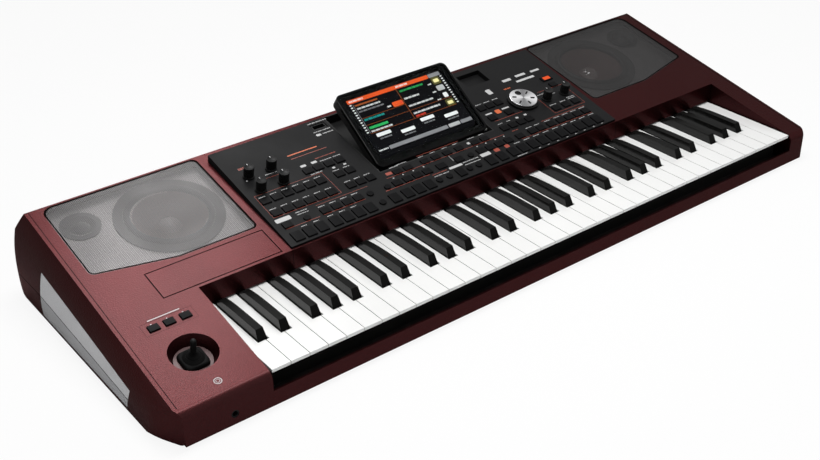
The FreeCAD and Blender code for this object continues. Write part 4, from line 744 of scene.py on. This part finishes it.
knob = cylinder("knob_pattern", KNOB_REACH, KNOB_LOW, KNOB_TOP)
edit(knob)
pick("FACE", lambda part: part.normal.z > 0.9)
bpy.ops.mesh.inset(thickness=0.9, depth=0.0)
bpy.ops.mesh.inset(thickness=0.5, depth=-0.4)
pick("FACE", lambda part: abs(part.normal.z) < 0.1 and part.calc_center_median().length > KNOB_REACH - 0.5
     and round(math.atan2(part.normal.y, part.normal.x) / math.radians(10.0)) % 2 == 0)
bpy.ops.mesh.inset(thickness=0.16, depth=-0.3, use_individual=True)
pick("EDGE", lambda part: all(abs(corner.co.z - KNOB_TOP) < 0.01 and corner.co.to_2d().length > KNOB_REACH - 0.2
                              for corner in part.verts))
round_off(0.5, 2)
done()
skirt = cylinder("knob_skirt", SKIRT_REACH, SKIRT_LOW, SKIRT_TOP)
edit(skirt)
pick("EDGE", lambda part: all(corner.co.z > SKIRT_TOP - 0.1 for corner in part.verts))
round_off(0.6, 2)
done()
join([knob, skirt])
print("knob pattern has", len(knob.data.polygons), "faces")

# %% One pointer
pointer = square("pointer_pattern", 1.0)
edit_all(pointer)
bpy.ops.mesh.bevel(offset=0.2, segments=2, affect="VERTICES")
draw_out(1.0)
face_outward()
done()
settle(pointer)
print("pointer pattern has", len(pointer.data.polygons), "faces")

# %% Six knobs in place
KNOBS = {"volume": VOLUME_AT, "style": (-210.1, 131.0), "gain": (-242.4, 102.6), "balance": (-210.1, 102.6),
         "cutoff": (207.9, 80.5), "resonance": (240.7, 80.5)}


def stamp(pattern, name, place):
    piece = linked(name, pattern.data.copy())
    piece.data.transform(place)
    return piece


for control, (x, v) in KNOBS.items():
    spot = PANEL @ Matrix.Translation((x, v, 0.0))
    cap = stamp(knob, f"{control}_knob_cap", spot)
    fit(smooth(cap, 40, False), f"{control}_knob", knob_black, "knob_black", f"{control}_knob")
    line = stamp(pointer, f"{control}_knob_pointer", spot @ Matrix.Translation((0.0, 4.4, KNOB_TOP - 0.1))
                 @ Matrix.Diagonal((1.0, 2.6, 0.16, 1.0)))
    fit(line, f"{control}_knob", ink_white, "knob_black")

# %% Value dial
DIAL_REACH, DIAL_SKIRT = 22.0, 3.7
DIMPLE, DIMPLE_REACH, DIMPLE_TOP = DIAL_AT + Vector((0.0, DIAL_REACH * 0.52)), 4.7, 6.2


def dial_shade(face):
    centre = panel_back @ face.center
    in_dimple = (centre.to_2d() - DIMPLE).length < DIMPLE_REACH
    return 1 if centre.z < DIAL_SKIRT or (in_dimple and centre.z < DIMPLE_TOP) else 0


dial = soften(copy_of("value_dial", "value_dial_wheel"), 0.4 * MM, 2, 40)
fit(smooth(dial, 40), "value_dial", dial_silver, "dial_silver", "value_dial")
recolour(dial, (knob_black,), dial_shade)
ticks = []
for turn in (-150, -90, -30, 30, 150):
    around_dial = Matrix.Translation((*DIAL_AT, DIAL_HIGH)) @ Matrix.Rotation(math.radians(turn), 4, "Z")
    bar = Matrix.Translation((12.9, 0.0, 0.0)) @ Matrix.Diagonal((6.0, 2.0, 0.14, 1.0))
    ticks.append(stamp(pointer, f"value_dial_tick_{turn + 150}", PANEL @ around_dial @ bar))
tick_marks = join(ticks)
tick_marks.name = "value_dial_ticks"
fit(tick_marks, "value_dial", knob_black, "dial_silver")

# %% [markdown]
# ## Display
# The display is a gloss black frame round a glass, on a black housing, tilted up out of its tray. The
# frame's outline is a plane. Its inset middle is pushed back to seat the glass, then opened, and both
# rims are drawn back and joined, which makes one closed ring. Its upright edges are rounded last.

# %% Display frame
FRAME_WIDE, FRAME_TALL, FRAME_MIDDLE, FRAME_TOP, FRAME_DEEP = 181.0, 116.0, 54.0, 10.0, 5.0
LIP, SEAT, SEAT_DEEP = 3.7, 7.5, 1.62
frame_piece = square("display_frame", 1.0, (0.0, FRAME_MIDDLE, FRAME_TOP))
frame_piece.scale = (FRAME_WIDE, FRAME_TALL, 1.0)
bpy.context.view_layer.update()
settle(frame_piece)
edit_all(frame_piece)
bpy.ops.mesh.inset(thickness=LIP)
draw_out(-SEAT_DEEP)
open_middle(SEAT)
pick("EDGE", lambda part: open_edge(part) and part.verts[0].co.z > FRAME_TOP - 0.1)
draw_out(-FRAME_DEEP)
pick("EDGE", lambda part: open_edge(part) and part.verts[0].co.z > FRAME_TOP - 2.0)
draw_out(SEAT_DEEP - FRAME_DEEP)
pick("EDGE", open_edge)
bpy.ops.mesh.bridge_edge_loops()
face_outward()
for inset, radius, arcs in ((0.0, 9.0, 8), (LIP, 5.3, 6), (LIP + SEAT, 1.5, 3)):
    reach = FRAME_WIDE / 2.0 - inset
    pick("EDGE", lambda part: abs(part.verts[0].co.z - part.verts[1].co.z) > 1.0
         and all(abs(abs(corner.co.x) - reach) < 0.1 for corner in part.verts))
    round_off(radius, arcs)
pick("EDGE", lambda part: all(corner.co.z > FRAME_TOP - 0.01 for corner in part.verts)
     and any(min(corner.co.z for corner in face.verts) < FRAME_TOP - 4.0 for face in part.link_faces))
round_off(1.0, 3)
done()
settle(frame_piece, SCREEN)
fit(smooth(frame_piece, 40), "display", gloss_black, "bezel_gloss", "display_bezel")

# %% Glass and housing
housing = soften(copy_of("display_housing", "display_back", 0.0), 0.8 * MM, 2, 40)
fit(smooth(housing, 40), "display", tray_black, "housing_black", "display_housing")
glass, glass_tree, glass_shader = blank("clear display glass")
glass_place = node(glass_tree, "TexCoord", {}).outputs["Object"]
glass_worn = node(glass_tree, "Group", {"Vector": glass_place, "Polished": 0.0, "Dull": 0.05},
                  node_tree=handling_group)
wire(glass_tree, glass_shader, {"Base Color": rgba((0.92, 0.95, 0.95)), "Transmission Weight": 1.0, "IOR": 1.02,
                                "Roughness": glass_worn.outputs["Roughness"]})
dress(glass, "display_glass")
dress(lit("screen off colour", (0.006, 0.006, 0.007)), "display_module")
print("glass and display dressed")

# %% [markdown]
# The picture is a set of thin lit plates between the module and the glass, as bars and blocks only.
# Printed marks and lit bars are all the same thin rounded bar. It is modelled once, as the knob's
# pointer was, and a layer is that bar stamped at every place, one mesh for each colour. A long bar
# keeps small corners, because only its straight stretches grow.

# %% A layer of marks
INK_HIGH = 0.06


def layer(name, marks, plane, finish_for, slot="case_paint", body="case", low=0.0, high=INK_HIGH):
    verts, faces = [], []
    bar = [corner.co.copy() for corner in pointer.data.vertices]
    sides = [list(face.vertices) for face in pointer.data.polygons]
    for x0, x1, v0, v1 in marks:
        start = len(verts)
        short = min(x1 - x0, v1 - v0)
        for corner in bar:
            x = (x0 + x1) / 2 + math.copysign((x1 - x0) / 2 - (0.5 - abs(corner.x)) * short, corner.x)
            v = (v0 + v1) / 2 + math.copysign((v1 - v0) / 2 - (0.5 - abs(corner.y)) * short, corner.y)
            verts.append(plane @ Vector((x, v, low + corner.z * (high - low))))
        faces += [[start + index for index in face] for face in sides]
    mesh = bpy.data.meshes.new(name)
    mesh.from_pydata(verts, [], faces)
    return fit(linked(name, mesh), body, finish_for, slot)


LETTERS = (0.9, 0.6, 1.0, 0.8, 0.45, 0.9, 0.7, 1.05)


def words(x0, x1, v, tall=1.3):
    marks, x, count = [], x0, 0
    while x < x1 - 0.3:
        wide = LETTERS[(count * 3 + int(abs(x0))) % len(LETTERS)]
        marks.append((x, min(x + wide, x1), v - tall / 2, v + tall / 2))
        x += wide + (1.1 if count % 5 == 4 else 0.42)
        count += 1
    return marks


def lines(*rows):
    return [mark for row in rows for mark in words(*row)]


# %% Picture on the display
PICTURE_LOW, PICTURE_HIGH, RAISED_HIGH = 8.22, 8.28, 8.34
PICTURE = {
    "orange": ((0.66, 0.085, 0.02), [(-78, 54, 95, 101), (-19, -2.6, 70.9, 78.4)]),
    "brown": ((0.30, 0.075, 0.02), [(-70, -34.5, 89.4, 91.6), (-1.7, -1.1, 47, 94.5), (-72, -1.7, 69.8, 70.2),
                                    (-72, 69, 58.8, 59.2), (-72, 69, 45.8, 46.2)]),
    "white": ((0.75, 0.75, 0.75), lines(
        (-69.5, -33, 85.2, 2.4), (-27.6, -22, 74.5, 2.4), (-69.5, -36.4, 48.5, 2.4), (1.75, 26, 77.5, 2.6),
        (1.75, 41.7, 65.3, 2.6), (1.75, 46, 53.2, 2.6))
        + [(x, x + 3, v, v + 1.6) for x in (-77, 71.5) for v in range(48, 93, 4)]
        + [(-66.4, -44, 38.4, 43.4), (-30.8, -8.9, 32, 37), (4.9, 26.8, 38.4, 43.4), (41, 63, 32, 37),
           (59, 66, 60.5, 68)]
        + lines((-76, -61, 19.5, 2.0), (-75, -53, 98, 2.6), (0, 19, 98, 2.6), (46.7, 52.4, 86, 1.8),
                (46.7, 52.4, 73, 1.8), (46.7, 52.4, 60.5, 1.8))),
    "grey": ((0.22, 0.22, 0.23), words(-69.5, -29.5, 80.3, 2.2)
             + [(54.5, 74, 95, 101), (-59.5, 36, 16.8, 22), (58, 76.8, 16.8, 22), (-72.3, -71.7, 47, 93)]
             + lines((-64, -46, 35, 2), (-29, -11, 28.6, 2), (7, 25, 35, 2), (43, 61, 28.6, 2))),
    "pale": ((0.42, 0.42, 0.42), [(38, 56.5, 16.8, 22), (56, 68, 72.4, 80.6)]),
    "teal": ((0.02, 0.32, 0.29), words(-69.5, -38, 66.9, 3.0)),
    "green": ((0.03, 0.38, 0.10), [(-69.5, -40, 52.2, 55.8)] + words(1.75, 40.5, 90, 2.8)),
    "red": ((0.65, 0.05, 0.03), [(-6.5, -3.4, 73.4, 76)] + words(2.4, 18, 48.4, 2.6)),
    "olive": ((0.09, 0.085, 0.025), [(55.5, 69, 83, 94.6), (55.5, 69, 46.5, 57)]),
    "yellow": ((0.80, 0.72, 0.35), [(58, 66.5, 86, 91.5), (58, 66.5, 49, 54)]),
}
for shade, (colour, marks) in PICTURE.items():
    high = RAISED_HIGH if shade in ("white", "red", "yellow", "pale") else PICTURE_HIGH
    layer(f"picture_{shade}", marks, SCREEN, lit(f"lit {shade}", colour), "screen_module", "display", PICTURE_LOW, high)

# %% [markdown]
# ## Joystick
# The stick rises from a rubber boot in a dished well. The boot's base is a square pillow with a round
# bore. It starts as a circle, and each further loop is drawn out of the last one and turned a little
# more from a circle into a square with round corners, which is what a superellipse does.

# %% Boot base
WELL = TOP @ Matrix.Translation((*STICK_AT, 0.0))
PILLOW = [(11.4, 2.0, -WELL_DEEP), (11.4, 2.0, -8.6), (11.6, 2.1, -8.2), (12.1, 2.6, -8.05), (12.9, 3.4, -8.2),
          (13.6, 4.2, -8.8), (14.2, 4.8, -9.8), (14.5, 5.2, -11.0), (14.5, 5.2, -WELL_DEEP)]


def squared(turn, half, power, height):
    reach = (abs(math.cos(turn)) ** power + abs(math.sin(turn)) ** power) ** (-1.0 / power)
    return Vector((half * reach * math.cos(turn), half * reach * math.sin(turn), height))


fresh()
bpy.ops.mesh.primitive_circle_add(vertices=64, radius=PILLOW[0][0], location=(0.0, 0.0, 0.0))
boot = begin("joystick_boot_pillow")
edit_all(boot)
for loop, (half, power, height) in enumerate(PILLOW):
    if loop:
        bpy.ops.mesh.extrude_edges_move()
    for corner in bmesh.from_edit_mesh(boot.data).verts:
        if corner.select:
            corner.co = squared(math.atan2(corner.co.y, corner.co.x), half, power, height)
    bmesh.update_edit_mesh(boot.data)
pick("EDGE", open_edge)
bpy.ops.mesh.bridge_edge_loops()
face_outward()
done()
settle(boot, WELL)
fit(smooth(boot, 50, False), "case", soft_rubber, "boot_rubber", "joystick_boot")

# %% [markdown]
# Above the base the rubber rises round the stick. It is two folds, because the stick leans on a gimbal:
# the lower fold reaches from the case to the gimbal ring, and the upper one from the ring to the stick.
# Each fold is a closed section spun round the stick's axis, and the stick is a profile spun the same way.

# %% Folds and stick
FOLDS = {
    "joystick_boot_fold": ([(11.8, -8.3), (10.8, -7.2), (9.5, -6.2), (8.5, -5.2), (7.6, -5.6), (8.7, -6.8),
                            (9.9, -7.9), (10.9, -9.2)], "case", "gimbal", (-8.1, -5.7)),
    "joystick_boot_neck": ([(7.9, -5.3), (7.2, -4.3), (5.9, -3.2), (4.8, -1.9), (4.2, -0.5), (4.0, 0.7), (3.4, 0.7),
                            (3.5, -0.8), (4.3, -2.3), (5.4, -3.9), (6.8, -5.1), (7.0, -5.8)], "gimbal", "stick",
                           (-5.6, -2.5)),
}
STICK = [(0.0, 18.0), (1.6, 17.8), (2.7, 17.1), (3.3, 15.8), (3.3, -20.0), (0.0, -20.0)]


def turned(name, section, closed):
    last = [(len(section) - 1, 0)] if closed else []
    mesh = bpy.data.meshes.new(name)
    mesh.from_pydata([(radius, 0.0, height) for radius, height in section],
                     [(step, step + 1) for step in range(len(section) - 1)] + last, [])
    piece = linked(name, mesh)
    edit_all(piece)
    bpy.ops.mesh.spin(steps=40, angle=math.tau, center=(0, 0, 0), axis=(0, 0, 1))
    pick_all()
    bpy.ops.mesh.remove_doubles(threshold=0.001)
    face_outward()
    done()
    return settle(piece, WELL)


for name, (section, lower, upper, (low, high)) in FOLDS.items():
    fold = smooth(turned(name, section, True), 60, False)
    fold.data.materials.append(soft_rubber)
    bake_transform(fold)
    print(name, "bends from", lower, "to", upper)
stick = turned("joystick_lever", STICK, False)
fit(smooth(stick, 40, False), "stick", knob_black, "stick_black", "joystick_stick")

# %% [markdown]
# ## Printing on the panel and the case
# The panel is covered in small labels, thin coloured rules and a few boxes. The labels are drawn as
# rows of short bars, which read as small print without saying anything, and the rules as long bars.

# %% Where the labels go
STYLE_X = (-248.4, -232.5, -216.6, -200.9, -185.0, -169.1)
LOWER_X = (104.4, 121.6, 138.7, 156.0, 173.3, 190.3, 207.0, 223.8, 240.7)


def labels(places, v, wide=10.0, tall=1.3):
    return [mark for x in places for mark in words(x - wide / 2, x + wide / 2, v, tall)]


white_marks = (
    [(-249.2, -246.8, 124, 126), (-142, -138, 95, 98), (-125.5, -121.5, 94.8, 97.4), (-258, -237, 41.6, 48.4),
     (42.5, 47.5, 52.5, 56.5), (4.2, 4.8, 35, 46), (-11, 10, 23, 26.8), (42.5, 58.5, 22.8, 29.2),
     (141, 149, 126, 137), (105.6, 117, 90.8, 93.2), (135, 147.5, 90.8, 93.2), (139, 143.4, 66, 69),
     (154, 158.4, 66, 69), (178.7, 194, 139.5, 144.5), (203.7, 222, 141, 145.5), (232, 248, 140.5, 144.5),
     (197, 230, 130.5, 134.5)]
    + lines((-223, -206, 124), (-173, -156, 98, 1.6), (-148.5, -131, 115), (-129, -118, 115))
    + [(-176, -168, 115, 119), (-160, -152, 115, 119)]
    + labels(STYLE_X, 90.7, 9) + labels(STYLE_X, 66.6, 9) + labels((-140.6, -125.8, -111.0), 66.5, 9)
    + labels((-140.8, -125.0), 91, 9)
    + lines((-228.5, -212, 47.6), (-228.5, -212, 43.6), (-121, -92, 185, 1.5), (-123, -97, 167, 1.5),
            (-113, -97, 160.5, 1.8))
    + [(-123, -116, 158.5, 162.5)] + lines((-79, -66, 62), (49, 60, 62), (68, 75.6, 62))
    + labels((-28.8, -10, 9.4, 27.5), 62, 8)
    + [(x - 0.9, x + 0.9, 43.2, 44.8) for x in (-85.6, -70.6, -54.4, -38, 51, 66, 82.5, 97.5)]
    + lines((-38, -15, 21), (12, 38, 21), (12, 38, 26), (86, 103, 2))
    + labels((111.5, 126.0, 141.0), 115, 10) + lines((136, 146, 43), (151, 160, 43))
    + labels(LOWER_X, 25, 10.5) + labels((125, 141, 158, 175, 191, 208, 225, 241), 2, 3)
    + lines((202, 214, 93), (220, 230, 87), (202, 214, 67), (221, 231, 67), (236, 250, 70), (236, 250, 67))
    + labels((-195, -178.7, -162.6, -146.6), 43, 9) + labels((174.2, 192.0, 207.2, 223.3, 239.3), 42.6, 10)
    + labels((-231.6, -214.6, -194.6, -177.8, -161.0), 24, 8) + labels((111, 126), 67.5, 7) + labels((-64, -55), 63, 8))
red_marks = (
    lines((-246.6, -236, 148, 4.0), (-151, -120, 122, 1.4), (-109, -99, 28), (115, 125, 47), (-38, -15, 25))
    + [(65.6, 74, 22.8, 28.8), (84, 91, 22.8, 28.8), (-90, -81, 51.5, 56.5), (-34, 35, 64.7, 65.2),
       (-94, 100, 46.8, 47.3), (-100, -40, 27.8, 28.3), (109, 157.5, 74.8, 75.3), (166, 247, 44.8, 45.3),
       (116, 247, 27.8, 28.2), (-253.5, -206, 28.2, 28.7), (-200, -140, 28.2, 28.7), (-200, -123.5, 46.8, 47.2),
       (-225, -207, 117.8, 118.2), (-178, -125, 134.6, 135.4), (-256, -158.5, 95.6, 96.0), (-256, -158.5, 52.0, 52.4),
       (-256, -255.6, 52, 96), (-158.9, -158.5, 52, 96), (206, 254, 98.3, 98.7), (197, 254, 50, 50.4),
       (197, 197.4, 50, 90), (253.6, 254, 50, 98.7)])
orange_marks = [(-179, -135, 141.5, 143.2), (122.5, 131, 86.5, 94.5)] + words(168, 180, 126, 2.2)
print(len(white_marks), "white marks,", len(red_marks), "red and", len(orange_marks), "orange")

# %% Print on the panel and the case top
for name, marks, shade in (("white_print", white_marks, ink_white), ("red_print", red_marks, ink_red),
                           ("orange_print", orange_marks, ink_orange)):
    layer(name, marks, PANEL, shade, "panel_black")
assign_marks = [(-459, -421, -19.0, -17.6)] + [(x - 0.7, x + 0.7, -25.0, -23.6) for x in (-457.9, -439.3, -420.1)]
layer("assign_print", assign_marks, TOP, ink_white)
flat_spots = [top_back @ corner.co for corner in nodes["upper_case"].data.vertices]
top_end = max(spot.y for spot in flat_spots if abs(spot.z) < 0.2) - 1.0
recess = [(-470, -408.5, -39.1, -38.8), (-470, -408.5, -20.6, -20.3), (-470, -469.7, -39.1, -20.3),
          (-408.8, -408.5, -39.1, -20.3)]
layer("assign_recess", recess, TOP, seam_and_shade_black, high=0.04)
layer("cheek_joints", [(x - 0.4, x + 0.4, -141.0, top_end) for x in (-491.3, 491.3)], TOP, seam_and_shade_black, low=-0.3,
      high=0.05)

# %% [markdown]
# The back isn't in the photograph. It gets the joint between the two cases and a short label over
# each socket, in the same wordless print.

# %% Back print
def upright(y, turn):
    stood = Matrix.Rotation(turn, 4, "Z") @ Matrix.Rotation(math.pi / 2, 4, "X")
    return Matrix.Translation((0.0, y, 0.0)) @ stood @ Matrix.Scale(MM, 4)


BACK, FACE = upright(0.1825, math.pi), upright(FALL_FACE, 0.0)
SOCKETS = (383.2, 353.2, 323.2, 293.2, 263.2, 206.3, 172.3, 138.3, 18.0, -353.7)
layer("back_print", labels(SOCKETS, 76.0, 14.0, 2.0), BACK, ink_white)
layer("back_joint", [(-491.0, 491.0, 29.8, 30.2)], BACK, seam_and_shade_black, low=-0.3, high=0.04)

# %% [markdown]
# A small double ring marks the headphone socket, and two fine joints cross the fallboard below
# the corners of the panel. One voice cap is lit in orange.

# %% Ring mark, fallboard joints and the lit cap
PHONES_AT = (-438.5, -129.3)
fresh()
bpy.ops.mesh.primitive_circle_add(vertices=40, radius=4.5, fill_type="NGON")
ring_mark = settle(begin("phones_mark"))
edit_all(ring_mark)
for width in (1.0, 1.1, 0.6):
    bpy.ops.mesh.inset(thickness=width)
drop()
pick("FACE", lambda part: 2.4 < part.calc_center_median().length < 3.5)
drop()
pick_all()
draw_out(INK_HIGH)
face_outward()
done()
settle(ring_mark, TOP @ Matrix.Translation((*PHONES_AT, 0.0)))
fit(ring_mark, "case", ink_white, "case_paint")
layer("fallboard_joints", [(x - 0.35, x + 0.35, 51.0, 76.2) for x in (-264.5, 264.5)], FACE, seam_and_shade_black, high=0.05)
lit_orange = lit("lit orange cap", (0.80, 0.10, 0.03), 0.9)
cap_high = max((panel_back @ corner.co).z for corner in nodes["voice_buttons"].data.vertices)
layer("voice_lit_cap", [(235.3, 247.3, 115.4, 121.6)], PANEL, lit_orange, "button_black", "voice_buttons",
      cap_high - 0.05, cap_high + INK_HIGH)

# %% [markdown]
# ## Floor, light and camera
# The photograph has a plain white ground and soft light. A white surrounding fills most of it, and a
# softbox overhead adds the rest. Behind stands a card that is seen only in reflections: it lays a
# sheen on the left of the case and leaves the right dark. The floor is pale and keeps the shadow.

# %% Floor
floor = square("studio_floor", 1.0)
edit_all(floor)
bpy.ops.transform.resize(value=(30.0, 30.0, 1.0))
bpy.ops.mesh.subdivide(number_cuts=3)
done()
settle(floor)
floor_paint, floor_tree, floor_shader = blank("pale studio floor")
wire(floor_tree, floor_shader, {"Base Color": rgba(0.9), "Roughness": 0.9, "Specular IOR Level": 0.0})
white_card = node(floor_tree, "Emission", {})
ray = node(floor_tree, "LightPath", {})
share = node(floor_tree, "Math", {0: ray.outputs["Is Camera Ray"], 1: 0.9}, operation="MULTIPLY")
ground = node(floor_tree, "MixShader", {0: share.outputs[0], 1: floor_shader.outputs[0], 2: white_card.outputs[0]})
wire(floor_tree, floor_tree.nodes["Material Output"], {"Surface": ground.outputs[0]})
floor.data.materials.append(floor_paint)

# %% Surrounding light and lamps
LAMPS = {
    "rear card": ((0.12, 0.80, 1.36), (-0.36, -0.02, 0.08), 0.50, 0.70, 19.0),
    "overhead softbox": ((-0.05, -0.12, 1.55), (-0.05, -0.08, 0.08), 0.80, 0.50, 20.0),
}
world = bpy.data.worlds.new("white studio")
bpy.context.scene.world = world
world.use_nodes = True
sky = world.node_tree
path = node(sky, "LightPath", {}).outputs
seen = path["Is Camera Ray"]
for ray_kind in ("Is Glossy Ray", "Is Transmission Ray"):
    seen = node(sky, "Math", {0: seen, 1: path[ray_kind]}, operation="MAXIMUM").outputs[0]
wire(sky, sky.nodes["Background"], {"Color": rgba(1.0), "Strength": remap(sky, seen, 0.30, 1.0, 0.0, 1.0)})
for name, (place, aim, wide, tall, power) in LAMPS.items():
    lamp_data = bpy.data.lights.new(name, "AREA")
    lamp_data.shape = "RECTANGLE"
    lamp_data.size = wide
    lamp_data.size_y = tall
    lamp_data.energy = power
    lamp = linked(name, lamp_data)
    lamp.location = place
    lamp.visible_diffuse = name != "rear card"
    lamp.rotation_euler = (Vector(aim) - lamp.location).to_track_quat("-Z", "Y").to_euler()
    print(name, "of", power, "W")

# %% Camera
EYE = (-0.8591, -1.0446, 0.7948)
FOCAL_PIXELS, PHOTO_PIXELS, SENSOR = 1191.4, 820.0, 36.0
around, rise, roll = math.radians(37.12), math.radians(-30.84), math.radians(1.18)
ahead = Vector((math.sin(around) * math.cos(rise), math.cos(around) * math.cos(rise), math.sin(rise)))
level_right = Vector((math.cos(around), -math.sin(around), 0.0))
level_up = level_right.cross(ahead)
right = level_right * math.cos(roll) - level_up * math.sin(roll)
up = level_up * math.cos(roll) + level_right * math.sin(roll)
camera_data = bpy.data.cameras.new("portrait camera")
camera_data.sensor_fit = "HORIZONTAL"
camera_data.sensor_width = SENSOR
camera_data.lens = FOCAL_PIXELS * SENSOR / PHOTO_PIXELS
camera_data.clip_start = 0.01
camera = linked("portrait camera", camera_data)
camera.matrix_world = Matrix((*zip(right, up, -ahead, EYE), (0.0, 0.0, 0.0, 1.0)))
bpy.context.scene.camera = camera
bpy.context.scene.view_settings.view_transform = "Standard"
print("lens of", round(camera_data.lens, 2), "mm")

# %% [markdown]
# ## Closing up
# The patterns that were copied from are taken away.

# %% Finish
for pattern in (knob, pointer):
    bpy.data.objects.remove(pattern, do_unlink=True)
